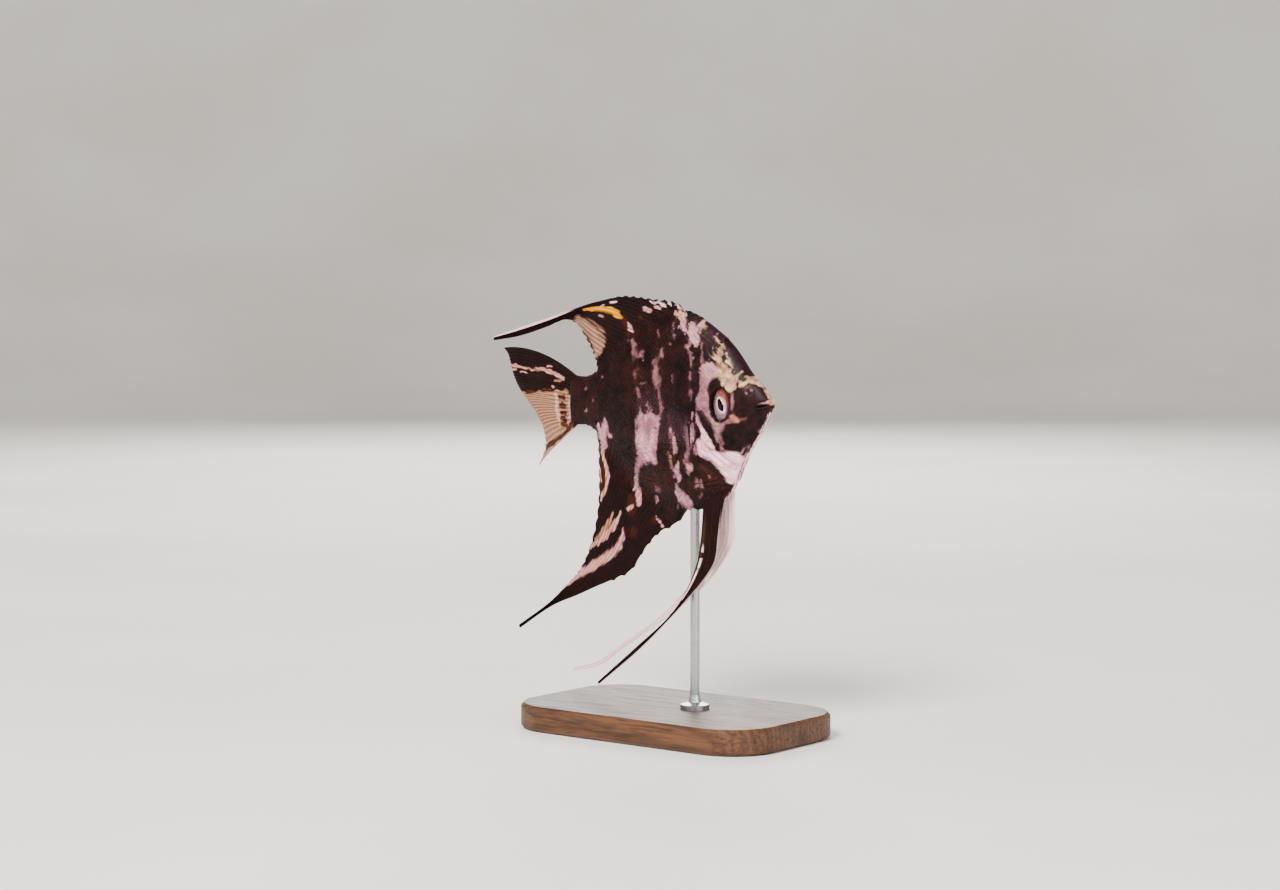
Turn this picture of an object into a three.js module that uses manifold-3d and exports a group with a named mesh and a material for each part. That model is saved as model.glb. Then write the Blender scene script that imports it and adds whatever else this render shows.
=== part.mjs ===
// A freshwater angelfish of the marble form, life size and still, as a museum shows one on a plain stand.
// Millimetres, +Z up. The fish swims level towards +X and its left side is +Y. The origin is the centre of
// the stand's underside, on the table.
//
// The fish is a closed loft of lens-shaped sections, parted with thin cuts into head, jaws, gill covers,
// trunk and tail stem. Each fin is a blade swept over its own rays, so that every ray is a low rib on it.

import * as THREE from "three";
import { ParametricGeometry } from "three/addons/geometries/ParametricGeometry.js";
import { mergeVertices } from "three/addons/utils/BufferGeometryUtils.js";
import Module from "manifold-3d";

const wasm = await Module();
wasm.setup();

// ---- Driving dimensions ---------------------------------------------------------------------------------

const bodyLength = 58.8; // snout tip to the root of the tail fin
const snoutX = 28.4; // the snout tip, forward of the stand's centre
const axisZ = 76; // the body's long axis, above the table
const gap = 0.3; // thin cut between neighbouring pieces

const stand = { length: 70, width: 42, corner: 12, height: 6, chamfer: 0.8 };
const rod = { x: 6, radius: 1.1, collarRadius: 3.4, collarHeight: 1.6 };

// ---- Curves and solids ----------------------------------------------------------------------------------

// A smooth function through [position, value, ...] keys, which are listed in order of position.
function curveThrough(keys) {
  const positions = keys.map((key) => key[0]);
  const values = keys.flatMap((key) => key.slice(1));
  const cubic = new THREE.CubicInterpolant(positions, values, keys[0].length - 1);
  return (position) => Array.from(cubic.evaluate(position));
}

// Hundredths of the body's length, back from the snout and up from the long axis, to a place in the part.
function place(back, up, y = 0) {
  const share = bodyLength / 100;
  return new THREE.Vector3(snoutX - back * share, y, axisZ + up * share);
}

function solidOf(geometry) {
  const bare = geometry.clone();
  bare.deleteAttribute("normal");
  bare.deleteAttribute("uv");
  const merged = mergeVertices(bare, 1e-4);
  const corners = merged.index.array;
  const kept = [];
  for (let i = 0; i < corners.length; i += 3) {
    const [a, b, c] = corners.slice(i, i + 3);
    if (a !== b && b !== c && c !== a) kept.push(a, b, c);
  }
  const vertProperties = merged.attributes.position.array;
  const enclose = (triangles) => new wasm.Manifold(
    new wasm.Mesh({ numProp: 3, vertProperties, triVerts: Uint32Array.from(triangles) }),
  );
  const solid = enclose(kept);
  return solid.volume() < 0 ? enclose(kept.reverse()) : solid;
}

// A closed outline in the XZ plane, extruded across the fish from one Y to another.
function slab(shape, fromY, toY) {
  const geometry = new THREE.ExtrudeGeometry(shape, { depth: toY - fromY, bevelEnabled: false, curveSegments: 8 });
  geometry.translate(0, 0, -toY);
  geometry.rotateX(Math.PI / 2);
  return solidOf(geometry);
}

// A clockwise outline moved outwards at each corner, square to the line between the corner's neighbours.
function grown(points, by) {
  return points.map(([back, up], i) => {
    const [backBefore, upBefore] = points.at(i - 1);
    const [backAfter, upAfter] = points[(i + 1) % points.length];
    const run = new THREE.Vector2(backAfter - backBefore, upAfter - upBefore).normalize();
    return [back - by * run.y, up + by * run.x];
  });
}

function outline(points) {
  return new THREE.Shape(points.map(([back, up]) => {
    const spot = place(back, up);
    return new THREE.Vector2(spot.x, spot.z);
  }));
}

// ---- Body -----------------------------------------------------------------------------------------------

// The keys run from 0 at the snout to 1 at the root of the tail fin, in the square root of the share of the
// body's length, which brings them close together on the face. Values are hundredths of the body's length.
const backLine = curveThrough([
  [0, 1.7], [0.13, 3.4], [0.2, 6.1], [0.255, 8.8], [0.311, 11.2], [0.347, 14.1], [0.381, 17.5],
  [0.444, 23.6], [0.514, 28.9], [0.637, 36.1], [0.7, 35.7], [0.81, 27.9], [0.91, 14.3], [0.955, 9.8], [1, 10],
]);
const bellyLine = curveThrough([
  [0, 1.5], [0.13, -0.7], [0.18, -4.4], [0.235, -8.7], [0.3, -13.8], [0.37, -20.6], [0.44, -32],
  [0.475, -36], [0.53, -38.8], [0.62, -41.2], [0.7, -40.3], [0.81, -31.3], [0.91, -15.7], [0.955, -10.4],
  [1, -10.7],
]);
const halfWidth = curveThrough([
  [0, 0.6], [0.13, 2.2], [0.22, 3.7], [0.32, 5.3], [0.42, 6.9], [0.52, 8], [0.6, 8.3], [0.7, 7.6],
  [0.81, 5.9], [0.9, 4], [0.955, 2.8], [1, 1.5],
]);
const widestLine = curveThrough([[0, 1.6], [0.2, 1], [0.45, -2], [0.6, -5], [0.75, -3], [0.9, 0], [1, 0]]);
// Above 1 the section comes to an edge, as under a fin, and at 1 it is round, as on the forehead.
const ridgeEdge = curveThrough([[0, 0.9], [0.3, 1], [0.5, 1.15], [0.65, 1.45], [0.9, 1.35], [1, 1]]);
const keelEdge = curveThrough([[0, 0.9], [0.3, 1.05], [0.45, 1], [0.6, 1.1], [0.75, 1.4], [0.9, 1.35], [1, 1]]);

const stations = 26;
const firstStation = 0.05;
const ringPoints = 24;

// The point on the body's skin at a station and an angle round it, with the whole skin moved out by grow.
function skinPoint(station, angle, grow, target) {
  const share = bodyLength / 100;
  const [top] = backLine(station);
  const [bottom] = bellyLine(station);
  const [middle] = widestLine(station);
  const [half] = halfWidth(station);
  const up = Math.sin(angle);
  const edge = up > 0 ? ridgeEdge(station)[0] : keelEdge(station)[0];
  const reach = up > 0 ? (top - middle) * share + grow : (middle - bottom) * share + grow;
  const side = Math.sign(Math.cos(angle)) * Math.abs(Math.cos(angle)) ** edge;
  const x = snoutX + grow - station ** 2 * (bodyLength + 2 * grow);
  return target.set(x, side * (half * share + grow), axisZ + middle * share + up * reach);
}

function bodySolid(grow = 0) {
  const rows = stations + 2;
  const geometry = new ParametricGeometry((around, along, target) => {
    const row = Math.round(along * rows);
    const station = THREE.MathUtils.lerp(firstStation, 1, THREE.MathUtils.clamp((row - 1) / stations, 0, 1));
    const angle = around >= 1 ? 0 : around * 2 * Math.PI;
    skinPoint(station, angle, grow, target);
    if (row === 0 || row === rows) {
      const end = place(0, widestLine(station)[0]);
      target.set(row === 0 ? snoutX + grow : target.x, 0, end.z);
    }
  }, ringPoints, rows);
  return solidOf(geometry);
}

const body = bodySolid();
const bodyWithGap = bodySolid(gap);

// ---- Head, jaws, gill covers, trunk and tail stem -----------------------------------------------------------

const beyond = 60; // past the fish on every side, in hundredths of its length

// The hind edge of the head: from the nape down behind the gill cover and forward again to the throat.
const headEdge = [
  [27, beyond], [27.5, 34], [29, 20], [31, 10], [33.2, 2], [34.6, -5], [34, -12], [31.4, -18], [26, -23.5],
  [20, -27.5], [14.5, -32], [10, -38],
];
const moved = (points, back) => points.map(([b, up]) => [b + back, up]);
const headRegion = (back) => slab(outline([...moved(headEdge, back), [-beyond, -38], [-beyond, beyond]]), -20, 20);

// The gill cover: the hind edge is the head's own, and the fore edge is the bent bone behind the cheek.
const gillEdge = [[30, 15], ...headEdge.slice(3, 10)];
const cheekBone = [[17.5, -24], [23, -18], [27, -11.5], [28.8, -5], [29, 3], [28.3, 9], [28, 14]];
const gillPoints = [...gillEdge, ...cheekBone];
const gillThickness = 1;
const gillRise = 0.3;

function gillCover(side) {
  const [fromY, toY] = side > 0 ? [0.5, 12] : [-12, -0.5];
  return bodySolid(gillRise).subtract(bodySolid(-gillThickness)).intersect(slab(outline(gillPoints), fromY, toY));
}

function gillPocket(side) {
  const [fromY, toY] = side > 0 ? [0, 12] : [-12, 0];
  return slab(outline(grown(gillPoints, 1.2)), fromY, toY).subtract(bodySolid(-gillThickness - gap));
}

// The mouth is a little open: the slit widens from its corner to the lips.
const mouthCorner = [6.2, -0.1];
const lowerJawRegion = slab(outline([
  mouthCorner, [-3, 0.6], [-3, -20], [11.5, -20], [9.6, -8],
]), -8, 8);
const upperJawRegion = slab(outline([
  [mouthCorner[0], 0.5], [6.6, 5.5], [4.3, 12], [-3, 12], [-3, 2.2],
]), -8, 8);
const jawClearance = slab(outline([
  [6.7, 0.2], [-4, 1.1], [-4, 1.7], [6.7, 0.3],
]), -8, 8);
const lowerJawCut = slab(outline([[6.9, 0.4], [-3, 0.9], [-3, -21], [12.1, -21], [10.1, -8.1]]), -8, 8);
const upperJawCut = slab(outline([[6.9, 0.1], [7.2, 5.7], [4.9, 12.1], [-3, 12.1], [-3, 1.8]]), -8, 8);

// ---- Eyes -----------------------------------------------------------------------------------------------

const eye = { back: 21.6, up: 0.6, y: 2.9, radius: 3.75, halfDepth: 2.2 };

function eyeSolid(side, grow = 0) {
  const geometry = new THREE.SphereGeometry(1, 15, 8);
  geometry.rotateX(Math.PI / 2);
  geometry.scale(eye.radius + grow, eye.halfDepth + grow, eye.radius + grow);
  const centre = place(eye.back, eye.up, side * eye.y);
  geometry.translate(centre.x, centre.y, centre.z);
  return solidOf(geometry);
}

// ---- Fins -----------------------------------------------------------------------------------------------

// A swept fin is a blade between its leading and its trailing edge. Both run from the fin's root, sunk in the
// body, to its tip: a place in hundredths of the body's length for each share of the way out.
function sweptSpot(fin, across, outward) {
  const [leadBack, leadUp] = fin.leadingEdge(outward);
  const [trailBack, trailUp] = fin.trailingEdge(outward);
  return place(
    THREE.MathUtils.lerp(leadBack, trailBack, across),
    THREE.MathUtils.lerp(leadUp, trailUp, across),
  );
}

// A fan fin is a blade swept over its rays, which spread from its root to its margin. Each ray is a cubic
// with the slopes it leaves and arrives at, in degrees above straight back.
function fanSpot(fin, across, outward) {
  const root = fin.root(across);
  const tip = place(...fin.margin(across));
  const reach = root.distanceTo(tip) * fin.stiffness;
  const [leaves, arrives] = fin.slopes(across).map(THREE.MathUtils.degToRad);
  const heading = (angle) => new THREE.Vector3(-Math.cos(angle), 0, Math.sin(angle));
  const first = root.clone().addScaledVector(heading(leaves), reach);
  const second = tip.clone().addScaledVector(heading(arrives), -reach);
  return new THREE.CubicBezierCurve3(root, first, second, tip).getPoint(outward);
}

// Across runs from 0 at the foremost ray to 1 at the last, and outward from 0 at the root to 1 at the tip.
// The blade is thicker along each ray than in the web between two rays, and the web ends short of the rays.
function finSolid(fin) {
  const columns = fin.rays * 2;
  const { steps } = fin;
  const rows = columns + 2;
  const loop = 2 * steps + 2;
  const geometry = new ParametricGeometry((around, acrossRows, target) => {
    const row = Math.round(acrossRows * rows);
    const across = THREE.MathUtils.clamp((row - 1) / columns, 0, 1);
    const turn = Math.round(around * loop) % loop;
    const step = turn <= steps ? turn : loop - 1 - turn;
    const isRay = row % 2 === 1;
    const outward = step / steps * (isRay ? 1 : 1 - fin.notch);
    target.copy(fin.spot(fin, across, outward));
    const half = (isRay ? fin.rayThickness : fin.webThickness) / 2;
    const thick = row === 0 || row === rows ? 0 : half * (turn <= steps ? 1 : -1);
    target.y = fin.sway(across, outward) + thick;
  }, loop, rows);
  return solidOf(geometry);
}

const dorsalFin = {
  spot: sweptSpot,
  leadingEdge: curveThrough([
    [0, 39.5, 33], [0.08, 46.5, 38.4], [0.2, 60, 40.2], [0.32, 74, 41.2], [0.42, 85.5, 39.5], [0.54, 97, 36.6],
    [0.68, 110, 32.7], [0.84, 126, 28.2], [1, 139.6, 24.4],
  ]),
  trailingEdge: curveThrough([
    [0, 86, 8], [0.08, 87, 13.6], [0.2, 89, 18.8], [0.32, 92.7, 24.6], [0.42, 97, 30], [0.54, 103, 31.8],
    [0.68, 113, 28.5], [0.84, 126.4, 24.8], [1, 139.2, 22.8],
  ]),
  rays: 8, steps: 16, notch: 0, rayThickness: 0.9, webThickness: 0.55,
  sway: (across, outward) => -1.2 * outward ** 2,
};

const analFin = {
  spot: sweptSpot,
  leadingEdge: curveThrough([
    [0, 40, -38], [0.08, 46, -45.6], [0.18, 56, -51], [0.28, 63, -57.6], [0.38, 70.4, -66.8], [0.46, 77.9, -70.6],
    [0.55, 87, -74.3], [0.66, 98, -79], [0.82, 112, -84.6], [1, 129.8, -95.2],
  ]),
  trailingEdge: curveThrough([
    [0, 87.5, -7], [0.08, 86.6, -16], [0.18, 86.3, -27], [0.28, 86.5, -39], [0.38, 88.6, -51], [0.46, 92, -60.4],
    [0.55, 96.4, -68], [0.66, 101.8, -73.4], [0.82, 113, -83], [1, 130.3, -93.9],
  ]),
  rays: 8, steps: 16, notch: 0, rayThickness: 0.9, webThickness: 0.55,
  sway: (across, outward) => 1.5 * outward ** 2,
};

const tailFin = {
  spot: fanSpot,
  root: (across) => place(97.5 + 1.5 * Math.sin(Math.PI * across), THREE.MathUtils.lerp(9.2, -9.9, across)),
  margin: curveThrough([
    [0, 134, 20], [0.08, 132, 17.5], [0.25, 130.6, 10.5], [0.42, 128.6, 4], [0.55, 125.6, -0.5],
    [0.7, 120.8, -6.5], [0.85, 117.3, -13.5], [0.93, 117, -20.5], [1, 121.2, -28.8],
  ]),
  slopes: curveThrough([[0, 34, -8], [0.25, 14, 6], [0.5, 0, 0], [0.8, -22, -28], [1, -42, -44]]),
  stiffness: 0.33, rays: 12, steps: 5, notch: 0.03, rayThickness: 0.85, webThickness: 0.5,
  sway: (across, outward) => outward ** 2 * THREE.MathUtils.lerp(-1.5, 2.5, across),
};

// The right pelvic fin trails more steeply than the left.
const pelvicEdges = {
  right: {
    leadingEdge: curveThrough([
      [0, 21, -31], [0.1, 22.8, -40], [0.2, 23.6, -50], [0.3, 24.6, -59.5], [0.4, 29.2, -66.7], [0.5, 36.4, -74.4],
      [0.62, 45.4, -83.4], [0.8, 60, -96.9], [1, 79.6, -112.4],
    ]),
    trailingEdge: curveThrough([
      [0, 32, -33], [0.1, 32, -42], [0.2, 32.4, -52], [0.3, 33.6, -61], [0.4, 37, -69.6], [0.5, 41, -76.6],
      [0.62, 47, -83.8], [0.8, 61, -95.7], [1, 80, -111.4],
    ]),
  },
  left: {
    leadingEdge: curveThrough([
      [0, 21, -31], [0.1, 21.4, -43], [0.2, 22.6, -52.4], [0.3, 27.9, -60.9], [0.4, 35, -68.9], [0.5, 44.5, -76.6],
      [0.62, 58, -86], [0.8, 80, -99.8], [0.9, 92, -107.6], [1, 106.2, -111.6],
    ]),
    trailingEdge: curveThrough([
      [0, 32, -33], [0.1, 31.2, -42.5], [0.2, 31.4, -51], [0.3, 34.4, -59], [0.4, 40, -66.6], [0.5, 47.4, -74.4],
      [0.62, 59.1, -84.5], [0.8, 80.8, -98.6], [0.9, 92.5, -106.3], [1, 106.4, -110.4],
    ]),
  },
};
const pelvicFin = (side) => ({
  ...(side > 0 ? pelvicEdges.left : pelvicEdges.right),
  spot: sweptSpot,
  rays: 3, steps: 15, notch: 0, rayThickness: 0.8, webThickness: 0.5,
  sway: (across, outward) => side * (1.3 + 3.6 * outward ** 0.8),
});

const pectoralFin = (side) => ({
  spot: fanSpot,
  root: (across) => place(35.4 - 0.8 * across, -8.5 - 7 * across),
  margin: curveThrough([
    [0, 49, 6], [0.2, 54.5, 5], [0.45, 57.5, 0], [0.7, 55.5, -7], [1, 47.5, -14.5],
  ]),
  slopes: curveThrough([[0, 50, 42], [0.4, 24, 14], [0.7, 6, -2], [1, -6, 0]]),
  stiffness: 0.33, rays: 7, steps: 4, notch: 0.03, rayThickness: 0.75, webThickness: 0.5,
  sway: (across, outward) => side * (4.5 + 2.8 * outward ** 0.8),
});

// ---- Stand ----------------------------------------------------------------------------------------------

function standBase() {
  const { length, width, corner, height, chamfer } = stand;
  const shape = new THREE.Shape();
  const x = length / 2 - chamfer;
  const y = width / 2 - chamfer;
  const r = corner - chamfer;
  shape.absarc(x - r, y - r, r, 0, Math.PI / 2);
  shape.absarc(r - x, y - r, r, Math.PI / 2, Math.PI);
  shape.absarc(r - x, r - y, r, Math.PI, 1.5 * Math.PI);
  shape.absarc(x - r, r - y, r, 1.5 * Math.PI, 2 * Math.PI);
  const geometry = new THREE.ExtrudeGeometry(shape, {
    depth: height - 2 * chamfer, bevelThickness: chamfer, bevelSize: chamfer, bevelSegments: 1, curveSegments: 6,
  });
  geometry.translate(0, 0, chamfer);
  return solidOf(geometry);
}

function standRod() {
  const top = axisZ - 0.35 * bodyLength;
  const profile = [
    [0, stand.height], [rod.collarRadius, stand.height], [rod.collarRadius, stand.height + 0.7 * rod.collarHeight],
    [rod.radius + 0.5, stand.height + rod.collarHeight], [rod.radius, stand.height + 2 * rod.collarHeight],
    [rod.radius, top], [0, top],
  ];
  const geometry = new THREE.LatheGeometry(profile.map(([r, z]) => new THREE.Vector2(r, z)), 16);
  geometry.rotateX(Math.PI / 2);
  geometry.translate(rod.x, 0, 0);
  return solidOf(geometry).subtract(bodyWithGap);
}

// ---- The pieces ---------------------------------------------------------------------------------------------

const group = new THREE.Group();

function finish(name, solid, material) {
  const mesh = solid.getMesh();
  const geometry = new THREE.BufferGeometry();
  geometry.setAttribute("position", new THREE.BufferAttribute(mesh.vertProperties, 3));
  geometry.setIndex(new THREE.BufferAttribute(mesh.triVerts, 1));
  geometry.computeVertexNormals();
  const made = new THREE.Mesh(geometry, material);
  made.name = name;
  group.add(made);
}

const largest = (solid) => solid.decompose().sort((a, b) => b.volume() - a.volume())[0];

const finishes = {
  skin: new THREE.MeshStandardMaterial({ color: 0x2b1c1c, roughness: 0.4 }),
  paleSkin: new THREE.MeshStandardMaterial({ color: 0xd2b3b6, roughness: 0.35 }),
  fin: new THREE.MeshStandardMaterial({ color: 0x3a2725, roughness: 0.5 }),
  paleFin: new THREE.MeshStandardMaterial({ color: 0xe8d2d2, roughness: 0.5 }),
  clearFin: new THREE.MeshStandardMaterial({ color: 0xcbb5a8, roughness: 0.4 }),
  eye: new THREE.MeshStandardMaterial({ color: 0x1a1014, roughness: 0.1 }),
  wood: new THREE.MeshStandardMaterial({ color: 0x3b2a20, roughness: 0.5 }),
  steel: new THREE.MeshStandardMaterial({ color: 0xb9bcc0, roughness: 0.3, metalness: 1 }),
};

const sides = [["right", -1], ["left", 1]];
const sockets = sides.map(([, side]) => eyeSolid(side, gap)).reduce((a, b) => a.add(b));
const pockets = sides.map(([, side]) => gillPocket(side)).reduce((a, b) => a.add(b));
const wholeHead = body.intersect(headRegion(0)).subtract(sockets);

finish("head", largest(wholeHead.subtract(pockets).subtract(lowerJawCut).subtract(upperJawCut)), finishes.skin);
finish("upper_jaw", largest(wholeHead.intersect(upperJawRegion).subtract(jawClearance)), finishes.skin);
finish("lower_jaw", largest(wholeHead.intersect(lowerJawRegion).subtract(jawClearance)), finishes.paleSkin);

const tailStemAt = 84;
const behind = (back) => slab(outline([[back, beyond], [back, -beyond], [150, -beyond], [150, beyond]]), -20, 20);
const hindBody = body.subtract(headRegion(0.7));
finish("trunk", largest(hindBody.subtract(behind(tailStemAt))), finishes.skin);
finish("tail_stem", largest(hindBody.intersect(behind(tailStemAt + 0.5))), finishes.skin);

finish("dorsal_fin", largest(finSolid(dorsalFin).subtract(bodyWithGap)), finishes.fin);
finish("anal_fin", largest(finSolid(analFin).subtract(bodyWithGap)), finishes.fin);
finish("tail_fin", largest(finSolid(tailFin).subtract(bodyWithGap)), finishes.fin);
for (const [name, side] of sides) {
  finish(`gill_cover_${name}`, largest(gillCover(side)), finishes.paleSkin);
  finish(`eye_${name}`, eyeSolid(side), finishes.eye);
  finish(`pelvic_fin_${name}`, largest(finSolid(pelvicFin(side)).subtract(bodyWithGap)), finishes.paleFin);
  finish(`pectoral_fin_${name}`, largest(finSolid(pectoralFin(side)).subtract(bodyWithGap)), finishes.clearFin);
}
finish("stand_base", standBase(), finishes.wood);
finish("stand_rod", largest(standRod()), finishes.steel);

export default group;
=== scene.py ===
import math

import bpy
import numpy as np
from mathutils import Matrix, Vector


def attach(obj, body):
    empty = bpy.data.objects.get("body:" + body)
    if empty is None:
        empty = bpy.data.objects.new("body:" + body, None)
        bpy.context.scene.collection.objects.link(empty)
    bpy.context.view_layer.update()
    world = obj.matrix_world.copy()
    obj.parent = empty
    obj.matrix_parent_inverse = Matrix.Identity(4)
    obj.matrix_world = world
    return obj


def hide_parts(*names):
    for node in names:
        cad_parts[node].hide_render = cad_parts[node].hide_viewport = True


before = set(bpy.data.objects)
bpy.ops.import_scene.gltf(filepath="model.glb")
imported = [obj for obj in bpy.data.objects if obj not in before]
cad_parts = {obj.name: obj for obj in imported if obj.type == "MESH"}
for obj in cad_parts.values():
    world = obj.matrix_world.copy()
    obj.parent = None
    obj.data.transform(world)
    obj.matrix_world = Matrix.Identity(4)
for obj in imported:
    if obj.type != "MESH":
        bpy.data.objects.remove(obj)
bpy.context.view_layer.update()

# ---- Camera ---------------------------------------------------------------------------------------------
# The fish is seen from its right side, a little from ahead and from just above its eye, through a long lens
# that flattens it as an aquarium portrait does.

aim = Vector((-0.010, 0.0, 0.066))
camera_turn = math.radians(38)
camera_rise = math.radians(4)
camera_distance = 0.65
sensor_width = 36
lens_length = 78.9

camera_data = bpy.data.cameras.new("camera")
camera_data.sensor_width = sensor_width
camera_data.lens = lens_length
camera_data.clip_start = 0.02
camera_data.clip_end = 20
camera = bpy.data.objects.new("camera", camera_data)
bpy.context.scene.collection.objects.link(camera)
towards_camera = Vector((
    math.sin(camera_turn) * math.cos(camera_rise),
    -math.cos(camera_turn) * math.cos(camera_rise),
    math.sin(camera_rise),
))
camera.location = aim + towards_camera * camera_distance
camera.rotation_euler = towards_camera.to_track_quat("Z", "Y").to_euler()
bpy.context.scene.camera = camera

# ---- Floor, backdrop and lights -------------------------------------------------------------------------
# A pale plaster floor runs up into a round wall behind everything, so that every side of the model has the
# same plain background. Three soft boxes light it: a key from the camera's left, a fill and a back light.


def new_material(name):
    material = bpy.data.materials.new(name)
    material.use_nodes = True
    shader = material.node_tree.nodes["Principled BSDF"]
    return material, material.node_tree, shader


def add_node(tree, kind, inputs=None, **settings):
    """A node with its properties set, and then its input values by the names of the sockets in use."""
    node = tree.nodes.new(kind)
    for setting, value in settings.items():
        setattr(node, setting, value)
    for name, value in (inputs or {}).items():
        next(s for s in node.inputs if s.name == name and s.enabled).default_value = value
    return node


def object_coordinates(tree, scale=(1, 1, 1)):
    place = add_node(tree, "ShaderNodeTexCoord")
    mapping = add_node(tree, "ShaderNodeMapping", inputs={"Scale": scale})
    tree.links.new(place.outputs["Object"], mapping.inputs["Vector"])
    return mapping.outputs["Vector"]


def noise(tree, vector, scale, detail=3.0, roughness=0.5):
    texture = add_node(tree, "ShaderNodeTexNoise", inputs={
        "Scale": scale, "Detail": detail, "Roughness": roughness,
    })
    tree.links.new(vector, texture.inputs["Vector"])
    return texture.outputs["Fac"]


def between(tree, value, low, high, from_low=0.0, from_high=1.0):
    """The value stretched from one range to another and held at its ends."""
    span = add_node(tree, "ShaderNodeMapRange", interpolation_type="SMOOTHSTEP", inputs={
        "From Min": from_low, "From Max": from_high, "To Min": low, "To Max": high,
    })
    tree.links.new(value, span.inputs["Value"])
    return span.outputs["Result"]


def feed(tree, value, socket):
    """Gives a socket its value, which is another node's output or plain."""
    if isinstance(value, bpy.types.NodeSocket):
        tree.links.new(value, socket)
    else:
        socket.default_value = value


def mixed(tree, share, first, second, blend="MIX"):
    """Two colours mixed by a share."""
    mix = add_node(tree, "ShaderNodeMix", data_type="RGBA", blend_type=blend)
    feed(tree, share, mix.inputs[0])
    feed(tree, first, mix.inputs[6])
    feed(tree, second, mix.inputs[7])
    return mix.outputs[2]


def bumped(tree, shader, height, distance, strength=1.0):
    bump = add_node(tree, "ShaderNodeBump", inputs={"Distance": distance, "Strength": strength})
    tree.links.new(height, bump.inputs["Height"])
    tree.links.new(bump.outputs["Normal"], shader.inputs["Normal"])


def surface(tree, shader, tint, roughness, specular=0.5):
    feed(tree, tint, shader.inputs["Base Color"])
    feed(tree, roughness, shader.inputs["Roughness"])
    shader.inputs["Specular IOR Level"].default_value = specular


def colour(red, green, blue):
    """A screen colour in 0 to 255, as the linear colour that a shader takes."""
    return tuple((c / 255) ** 2.2 for c in (red, green, blue)) + (1.0,)


def mesh_object(name, points, faces, material=None):
    """A smooth mesh of points in metres, in the scene."""
    mesh = bpy.data.meshes.new(name)
    mesh.from_pydata(points, [], faces)
    mesh.shade_smooth()
    if material:
        mesh.materials.append(material)
    made = bpy.data.objects.new(name, mesh)
    bpy.context.scene.collection.objects.link(made)
    return made


def ring_faces(rings, sides, first=0):
    """Four-sided faces between closed rings of points that follow one another."""
    faces = []
    for ring in range(rings - 1):
        low = first + ring * sides
        high = low + sides
        for side in range(sides):
            after = (side + 1) % sides
            faces.append((low + side, low + after, high + after, high + side))
    return faces


floor_radius = 1.2
bowl_bend = 0.6
bowl_top = 1.5
bend_rings = 16
floor_sides = 96
bowl_profile = [(0.02, 0.0), (0.3, 0.0), (0.8, 0.0), (floor_radius, 0.0)]
bowl_profile += [
    (floor_radius + bowl_bend * math.sin(turn), bowl_bend * (1 - math.cos(turn)))
    for turn in np.linspace(0, math.pi / 2, bend_rings)[1:]
]
bowl_profile.append((floor_radius + bowl_bend, bowl_top))

bowl_points = [(0.0, 0.0, 0.0)]
for radius, height in bowl_profile:
    for turn in np.arange(floor_sides) * 2 * math.pi / floor_sides:
        bowl_points.append((radius * math.cos(turn), radius * math.sin(turn), height))
bowl_faces = [(0, 1 + side, 1 + (side + 1) % floor_sides) for side in range(floor_sides)]
bowl_faces += [(a, d, c, b) for a, b, c, d in ring_faces(len(bowl_profile), floor_sides, 1)]

plaster, tree, shader = new_material("pale_plaster")
grain = noise(tree, object_coordinates(tree), 6, 4)
tone = mixed(tree, between(tree, grain, 0.0, 1.0, 0.3, 0.7), colour(226, 222, 216), colour(234, 231, 226))
surface(tree, shader, tone, 0.9, 0.2)
backdrop = mesh_object("floor_and_backdrop", bowl_points, bowl_faces, plaster)

for name, place, size, power, tint in (
    ("key_light", (0.10, -0.75, 0.75), 0.4, 22.0, (1.0, 0.96, 0.92)),
    ("fill_light", (0.85, -0.35, 0.35), 0.7, 6.0, (0.95, 0.97, 1.0)),
    ("back_light", (-0.55, 0.70, 0.55), 0.6, 11.0, (1.0, 0.98, 0.95)),
):
    light_data = bpy.data.lights.new(name, "AREA")
    light_data.shape = "DISK"
    light_data.size = size
    light_data.energy = power
    light_data.color = tint
    light = bpy.data.objects.new(name, light_data)
    light.location = place
    light.rotation_euler = (Vector(place) - aim).to_track_quat("Z", "Y").to_euler()
    bpy.context.scene.collection.objects.link(light)

world = bpy.data.worlds.new("soft_room")
world.use_nodes = True
room = world.node_tree.nodes["Background"]
room.inputs["Color"].default_value = (0.95, 0.97, 1.0, 1.0)
room.inputs["Strength"].default_value = 0.42
bpy.context.scene.world = world

# ---- Skin -----------------------------------------------------------------------------------------------
# One skin covers the fish from lips to tail stem: thin, slippery and tight over the bones of the face, with
# the gill cover, cheek bone, eye rim, nostril and lips standing in it. It lies under the scales by their
# depth, and it carries the marble pattern: near black with pale lilac, gold and rose patches.

# Sizes on the fish are in millimetres, and become metres where its meshes are made.
millimetre = 0.001
body_length = 58.8
snout_x = 28.4
axis_z = 76.0
share = body_length / 100
coat_depth = 0.12
flesh_length = body_length - 2 * coat_depth


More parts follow.
